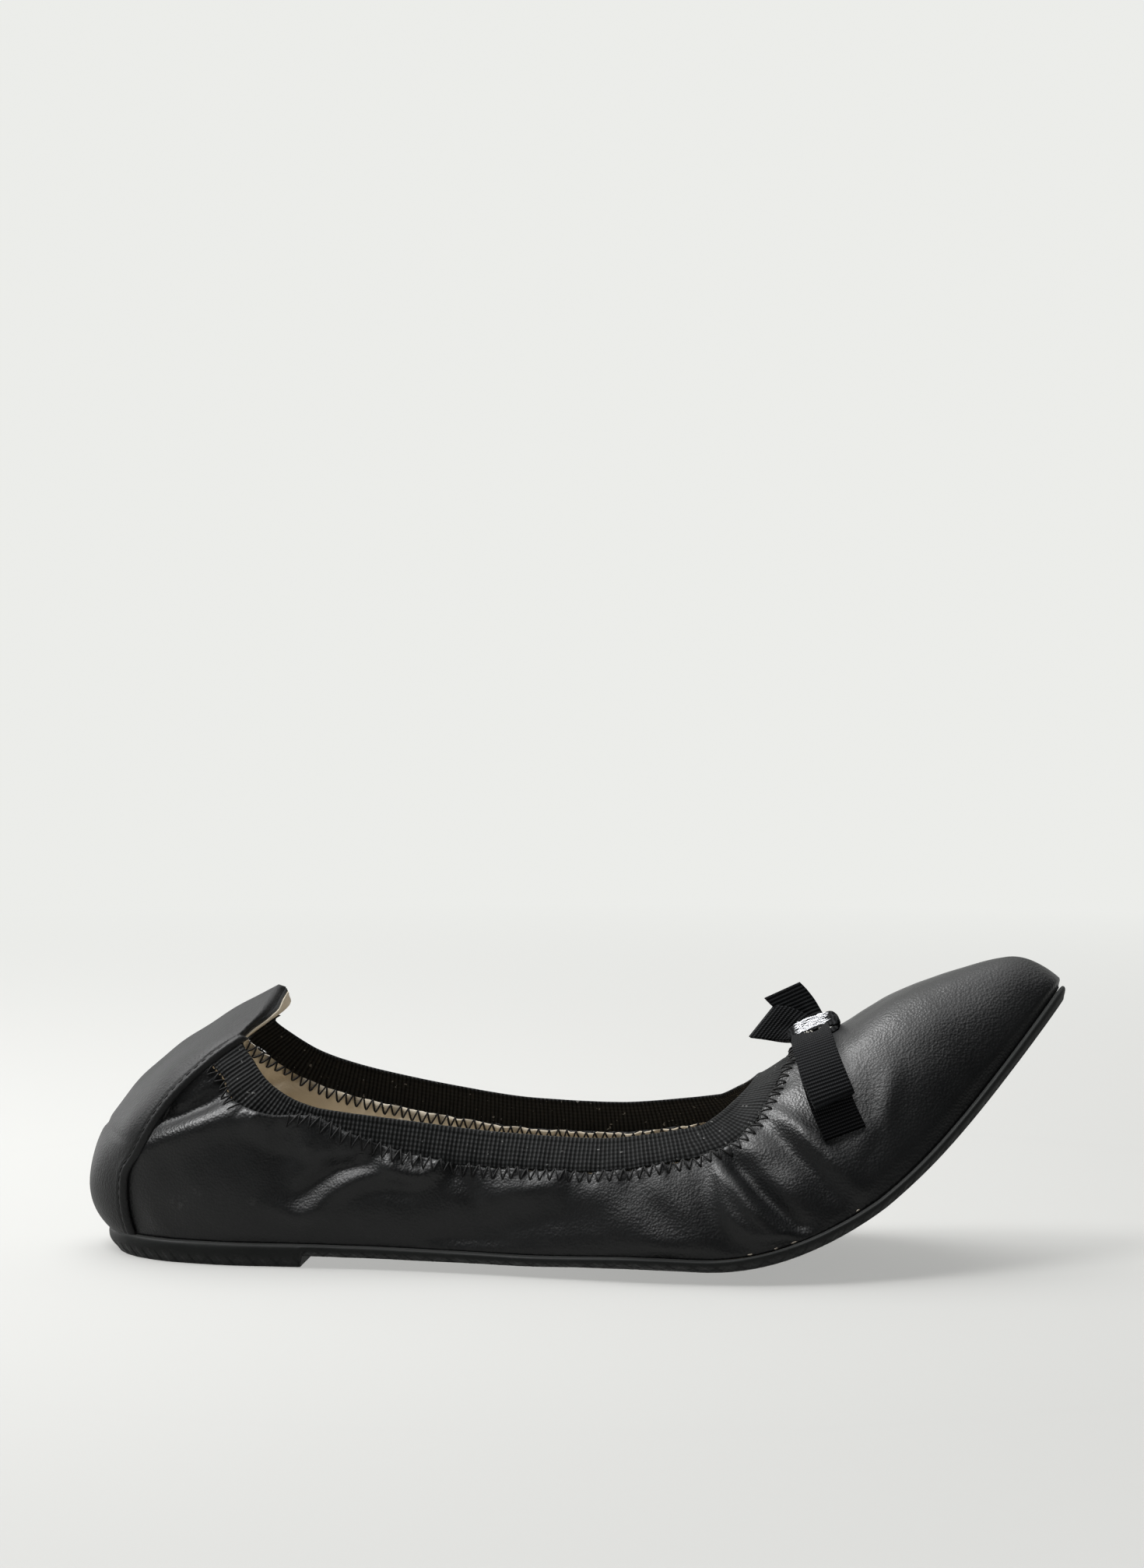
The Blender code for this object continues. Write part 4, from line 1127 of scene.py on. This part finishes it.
def make_panel_stitches(pitch_mm=2.4, inset_mm=1.9):
    """The straight row just inside the panel's rim, up its side and along its slanting edge."""
    paths, ups = [], []
    share = np.linspace(0.03, 0.965, 400)
    part = 0.05
    for side in SIDES:
        edge = panel_edge(share)
        apart = last(edge, share * 0.8, side) - last(edge * (1 - part), share * 0.8, side)
        inset = inset_mm * MM * part / np.linalg.norm(apart, axis=1)
        under, _ = panel_point(share, 1 - inset, side, np.full_like(share, GAP))
        top = GAP + PANEL_THICKNESS - 0.2 * MM + bulges(under) * MM
        points, normal = panel_point(share, 1 - inset, side, top)
        length = arc_length(points) / MM
        for start in np.arange(1.0, length[-1] - pitch_mm, pitch_mm):
            at = np.linspace(start, start + pitch_mm * 0.74, 5)
            path = np.stack([np.interp(at, length, points[:, k]) for k in range(3)], -1)
            up = unit(np.array([np.interp(at[2], length, normal[:, k]) for k in range(3)]))
            arch_mm = 0.16 * np.sin(math.pi * np.linspace(0, 1, 5)) - 0.05
            paths.append(path + up * arch_mm[:, None] * MM)
            ups.append(up)
    threads("heel_counter_stitches", paths, ups, STITCH_RADIUS, THREAD)


# The sole


def ring_points(stations, margin, up, across=None):
    """A ring round the sole at a margin and a height, or the line across it at a share."""
    height = np.broadcast_to(up, stations.shape)
    edges = [np.stack([*foot(stations, side, margin)[:2], height], -1) for side in SIDES]
    if across is None:
        return bend(*np.concatenate([edges[0], edges[1][::-1], edges[0][:1]]).T)
    return bend(*(edges[0] * (1 - across) + edges[1] * across).T)


def make_sole_layer(name, stations, levels, finish, node):
    """A layer of the sole: rings up its side at margins and heights, closed below and above."""
    side = np.array([ring_points(stations, *level) for level in levels])
    shares = share_of(np.linspace(0, 1, 26))
    top, bottom = (
        np.array([ring_points(stations, *level, share) for share in shares])
        for level in (levels[-1], levels[0])
    )
    piece(name, [side, top, bottom], finish, [node], [False, False, True])


# The outsole's side from the ground up: share of its rounding, and depth as a share of its thickness
SIDE_OUT = (0.0, 0.12, 0.35, 0.62, 0.82, 0.95, 1.0, 1.02, 1.0, 0.94, 0.84, 0.72)
SIDE_DEPTH = (-1.0, -0.93, -0.80, -0.68, -0.56, -0.44, -0.34, -0.22, -0.12, -0.05, -0.01, 0.0)
TOE_THINNER = 0.22              # share of the thickness that the sole loses toward the toe


def make_outsole(count=300):
    step = np.array([HEEL_LENGTH, HEEL_LENGTH + HEEL_STEP_RUN]) / SOLE_LENGTH
    kept = station_of([*step, WAIST_CURL[-1].share, TOE_CURL[0].share])
    even = np.linspace(0, 1, count)
    clear = np.abs(even[:, None] - kept[None, :]).min(1) > 0.0015
    stations = np.sort(np.concatenate([even[clear], kept]))
    heel = share_of(stations) * SOLE_LENGTH <= HEEL_LENGTH + HEEL_STEP_RUN / 2
    thickness = np.where(heel, HEEL_THICKNESS, SOLE_THICKNESS)
    thickness = thickness * (1 - TOE_THINNER * smoothstep((share_of(stations) - 0.66) / 0.15))
    levels = [
        (SOLE_MARGIN - SOLE_ROUNDING * (1 - out), depth * thickness)
        for out, depth in zip(SIDE_OUT, SIDE_DEPTH)
    ]
    make_sole_layer("moulded_outsole", stations, levels, RUBBER, "outsole")


def make_sock(count=200):
    rounding = ((1.0, 0.0), (1.0, 0.75), (1.4, 0.93), (3.0, 1.0))
    levels = [(-WALL - gaps * GAP, GAP + INSOLE_THICKNESS * height) for gaps, height in rounding]
    make_sole_layer("sock_lining", np.linspace(0, 1, count), levels, SOCK, "insole")


GLUE_SPOTS = ((0.628, 0.8), (0.655, 0.6), (0.672, 0.9), (0.742, 0.7))     # share of length, size


def make_glue():
    """Dried glue along the join of the upper and the sole."""
    paths, ups = [], []
    draw = np.random.default_rng(21)
    for side in SIDES:
        for share, size in GLUE_SPOTS:
            at = station_of(share + draw.uniform(-0.004, 0.004))
            spread = np.linspace(-1, 1, 5) * size * 0.0022
            points, normal = skin(at + spread, np.full(5, 0.012), side)
            paths.append(points + normal * 0.1 * MM)
            ups.append(normal[2])
    threads("glue_specks", paths, ups, 0.16 * MM, GLUE, ends=0.1)


# The bow


def ribbon(name, node, folds, side, finish, hollow=0.0, samples=18, across=21):
    """One ribbon of the bow, sunk along its middle near the knot by a hollow in mm."""
    table = np.array(folds, float)
    layer, width, tilt = table[:, 2:3], table[:, 3:4], table[:, 4:5]
    points, _, by_climb, normal = surface(station_of(table[:, 0]), table[:, 1], side)
    points = points + normal * (lift_of(layer) + MM * bulges(points)[:, None])
    along_shoe = -side * unit(np.cross(normal, by_climb))
    if side == INNER:
        _, ahead, up, _ = knot_frame()
        along_shoe, normal = ahead, up
    turned = along_shoe * np.cos(np.radians(tilt)) + normal * np.sin(np.radians(tilt))
    path = smooth_path(np.concatenate([points, turned, width], 1), samples)
    middle, turned, width = path[:, :3], path[:, 3:6], path[:, 6:]
    forward = unit(np.gradient(middle, axis=0))
    if side == OUTER:
        turned = unit(turned - forward * dot(turned, forward)[:, None])
    outward = np.cross(forward, turned)
    length = arc_length(middle) / MM
    is_loop = folds[-1].foot == KNOT_FOOT
    from_knot = np.minimum(length, length[-1] - length) if is_loop else length
    gather = 0.16 * MM * hump(from_knot, 5.5, 3.0)
    sunk = -hollow * MM * hump(length, 7.5, 4.0)
    grid, uv = [], []
    for t in np.linspace(-0.5, 0.5, across):
        bow = gather * math.cos(4 * math.pi * t) + sunk * hump(t, -0.05, 0.2)
        grid.append(middle + turned * width * RIBBON_WIDTH * t + side * outward * bow[:, None])
        uv.append(np.stack([length, np.full_like(length, t * RIBBON_WIDTH / MM)], -1))
    make_cloth(name, grid, finish, node, None, uv)


def make_cloth(name, grid, finish, node, flips, uv):
    piece(
        name, [np.array(grid)], finish, [node], flips, [np.array(uv)],
        wall=CLOTH_THICKNESS, offset=0.0,
    )


CLOTH_THICKNESS = 0.5 * MM
KNOT_LEAN = 2.2 * MM            # how far the knot's top slopes down to the near side
KNOT_CORNERS = 0.5              # power of the knot's ring, an oval at 1 and square at 0
PATCH_ROWS = 12
PATCH_SPAN = (67.0, 111.0)      # degrees round the knot
PATCH_RADIUS, FRAY_RADIUS = 0.17 * MM, 0.12 * MM
FRAY_COUNT = 34


def knot_frame():
    """The foot of the knot on the vamp, and its directions ahead, up and aside."""
    points, by_station, _, normal = surface(station_of([KNOT_FOOT]), np.array([1.0]), OUTER)
    forward, up = unit(by_station[0]), unit(normal[0] * np.array([1, 0, 1]))
    up = unit(up - forward * dot(up, forward))
    return points[0] + up * MM * bulges(points)[0], forward, up, np.cross(forward, up)


def knot_ring(turn, grow=0.0):
    """The knot's section at turns round it, grown outward."""
    centre, forward, up, _ = knot_frame()
    low, high = lift_of(0) - grow, lift_of(4) + grow
    cosine, sine = (np.sign(part) * np.abs(part) ** KNOT_CORNERS for part in (np.cos(turn), np.sin(turn)))
    x, z = cosine * (KNOT_LENGTH / 2 + grow), sine * (high - low) / 2 + (high + low) / 2
    return centre + x[:, None] * forward + z[:, None] * up


def knot_cloth(turn, share, lift):
    """Points round the knot's wrap at a share of its width, lifted off it."""
    _, _, up, aside = knot_frame()
    ring = knot_ring(turn)
    outward = unit(knot_ring(turn, 0.3 * MM) - ring)
    lean = KNOT_LEAN * smoothstep(share + 0.5) * smoothstep(np.sin(turn) * 2)
    return ring + aside * KNOT_WIDTH * share + outward * lift[:, None] - up * lean[:, None]


def make_knot(around=120, across=21):
    turn = np.linspace(0, 2 * math.pi, around + 1)
    length = arc_length(knot_ring(turn)) / MM
    grid, uv = [], []
    for t in np.linspace(-0.5, 0.5, across):
        pleats = 0.16 * np.cos(2 * math.pi * (2.5 * t + 0.15 * np.sin(turn * 2)))
        crumple_mm = pleats + 0.3 * t * np.sin(5 * turn)
        grid.append(knot_cloth(turn, t, crumple_mm * MM))
        uv.append(np.stack([length, np.full_like(length, t * KNOT_WIDTH / MM)], -1))
    make_cloth("knot_wrap", grid, GROSGRAIN, "bow_knot", [True], uv)


def make_patch(count=9):
    """Rows of silver thread over the knot."""
    _, _, up, _ = knot_frame()
    draw = np.random.default_rng(9)
    paths = []
    for share in np.linspace(-0.44, 0.30, PATCH_ROWS):
        ends = np.array(PATCH_SPAN) + draw.uniform(-9.0, 9.0, 2)
        turns = np.radians(np.linspace(*ends, count))
        lift_mm = 0.48 + 0.14 * np.sin(np.arange(count) * 2.4 + draw.uniform(0, 6))
        paths.append(knot_cloth(turns, share + draw.uniform(-0.025, 0.025), lift_mm * MM))
    threads("silver_patch", paths, [up] * PATCH_ROWS, PATCH_RADIUS, SILVER)


def make_frays():
    """Loose ends of thread at the knot's cut near edge."""
    _, forward, up, aside = knot_frame()
    paths, ups = [], []
    draw = np.random.default_rng(5)
    reach = np.linspace(0, 1, 6)[:, None]
    for _ in range(FRAY_COUNT):
        start = knot_cloth(np.radians([draw.uniform(80.0, 116.0)]), 0.49, np.full(1, 0.2 * MM))[0]
        drift = forward * draw.uniform(-1.2, 1.2)
        drift = drift - up * draw.uniform(0.2, 1.7) + aside * draw.uniform(1.0, 2.2)
        curl = up * np.sin(math.pi * reach) * draw.uniform(0.1, 0.5) * MM
        paths.append(start + drift * MM * reach + curl)
        ups.append(up)
    threads("frayed_ends", paths, ups, FRAY_RADIUS, PALE_THREAD, sides=5)


# The studio


CAMERA_AZIMUTH, CAMERA_ELEVATION = 7.0, 8.5   # degrees
CAMERA_DISTANCE = 1.5
CAMERA_TARGET = (0.0855, 0.0, 0.025)
PHOTO_WIDTH, PHOTO_HEIGHT = 1470, 2014
TARGET_X, TARGET_Y = 738.0, 1475.0      # where the target stands in the photograph
FOCAL_PIXELS = 8175.0
SENSOR_MM = 36.0


def toward_camera(azimuth, elevation):
    """The direction of a place seen at an azimuth from the shoe's near side, and at an elevation."""
    level = math.cos(elevation)
    return np.array([math.sin(azimuth) * level, -math.cos(azimuth) * level, math.sin(elevation)])


def make_camera():
    azimuth, elevation = math.radians(CAMERA_AZIMUTH), math.radians(CAMERA_ELEVATION)
    spot = np.array(CAMERA_TARGET) + CAMERA_DISTANCE * toward_camera(azimuth, elevation)
    pitch = elevation - math.atan((TARGET_Y - PHOTO_HEIGHT / 2) / FOCAL_PIXELS)
    sideways = math.atan((TARGET_X - PHOTO_WIDTH / 2) / FOCAL_PIXELS)
    ahead = -toward_camera(azimuth, pitch)
    right = np.array([math.cos(azimuth), math.sin(azimuth), 0.0])
    up = np.cross(right, ahead)
    across = right * math.cos(sideways) + ahead * math.sin(sideways)
    ahead = ahead * math.cos(sideways) - right * math.sin(sideways)
    data = bpy.data.cameras.new("photo_camera")
    data.sensor_width = SENSOR_MM
    data.lens = FOCAL_PIXELS * SENSOR_MM / PHOTO_HEIGHT
    data.clip_start, data.clip_end = 0.05, 50.0
    camera = linked("photo_camera", data)
    turn = Matrix(np.stack([across, up, -ahead], 1).tolist())
    camera.matrix_world = Matrix.Translation(spot.tolist()) @ turn.to_4x4()
    bpy.context.scene.camera = camera


BACKDROP = (0.838, 0.845, 0.820)        # the photo's even pale background
FLOOR_NEAR, FLOOR_FAR = 0.22, 0.75      # where the lit floor starts and ends its change to it
FLOOR_DROP = 0.1 * MM


def make_floor():
    """A pale floor that curves up into a backdrop behind the shoe."""
    radius, back, width, height = 0.8, 1.6, 7.0, 3.6
    profile = [(-3.5, 0.0), (back, 0.0)]
    for turn in np.radians(np.linspace(0, 90, 24))[1:]:
        profile.append((back + radius * math.sin(turn), radius * (1 - math.cos(turn))))
    profile.append((back + radius, height))
    rows = [[(x, y, z - FLOOR_DROP) for x in (-width, width)] for y, z in profile]
    mesh = bpy.data.meshes.new("studio_floor")
    points = [point for row in rows for point in row]
    faces = [(2 * i, 2 * i + 1, 2 * i + 3, 2 * i + 2) for i in range(len(rows) - 1)]
    mesh.from_pydata(points, [], faces)
    mesh.shade_smooth()
    floor = linked("studio_floor", mesh)
    made = Finish("pale_floor", (0.36, 0.36, 0.351), 0.9, shine=0.1)
    far = made.ranged(made.away((0.085, 0.0, 0.0)), FLOOR_NEAR, FLOOR_FAR)
    glow = made.add("Emission", {"Color": (*BACKDROP, 1), "Strength": 1.0})
    blend = made.add("MixShader", {0: far, 1: made.shader.outputs[0], 2: glow})
    made.set(made.tree.nodes["Material Output"], {"Surface": blend})
    mesh.materials.append(made.material)


def make_light(name, spot, aim, size, power, shadow=True):
    """A round lamp that faces its aim; without a shadow it only adds light."""
    data = bpy.data.lights.new(name, "AREA")
    data.shape = "DISK"
    data.size = size
    data.energy = power
    data.use_shadow = shadow
    light = linked(name, data)
    away = unit(np.array(spot) - np.array(aim))
    side = unit(np.cross([0, 0, 1], away))
    turn = Matrix(np.stack([side, np.cross(away, side), away], 1).tolist())
    light.matrix_world = Matrix.Translation(spot) @ turn.to_4x4()


def make_studio():
    make_floor()
    world = bpy.data.worlds.new("studio")
    world.use_nodes = True
    sky = world.node_tree.nodes["Background"]
    sky.inputs["Color"].default_value = (0.98, 0.99, 1.0, 1)
    sky.inputs["Strength"].default_value = 0.10
    bpy.context.scene.world = world
    make_light("key_light", (-0.35, -0.55, 1.25), (0.07, 0.0, 0.02), 0.6, 8.0)
    make_light("top_light", (-0.1, 0.30, 1.6), (0.08, 0.0, 0.0), 1.9, 20.0)
    make_light("vamp_light", (-0.61, 0.14, 1.03), (0.14, 0.0, 0.05), 0.5, 22.0, False)
    make_light("heel_light", (-0.85, 0.85, 0.22), (-0.03, 0.0, 0.03), 0.3, 2.5, False)
    bpy.context.scene.view_settings.view_transform = "Standard"


make_camera()
make_upper()
make_lining()
make_elastic()
make_zigzags()
make_heel_panel()
make_panel_stitches()
make_outsole()
make_sock()
make_glue()
ribbon("ribbon_loop_near", "bow_loop_near", LOOP_NEAR, OUTER, GROSGRAIN, 1.1)
# The near tail takes the grosgrain copy with painted shade
ribbon("ribbon_tail_near", "bow_tail_near", TAIL_NEAR, OUTER, SHADED_GROSGRAIN)
ribbon("ribbon_loop_far", "bow_loop_far", LOOP_FAR, INNER, GROSGRAIN)
ribbon("ribbon_tail_far", "bow_tail_far", TAIL_FAR, INNER, GROSGRAIN)
make_knot()
make_patch()
make_frays()
make_studio()
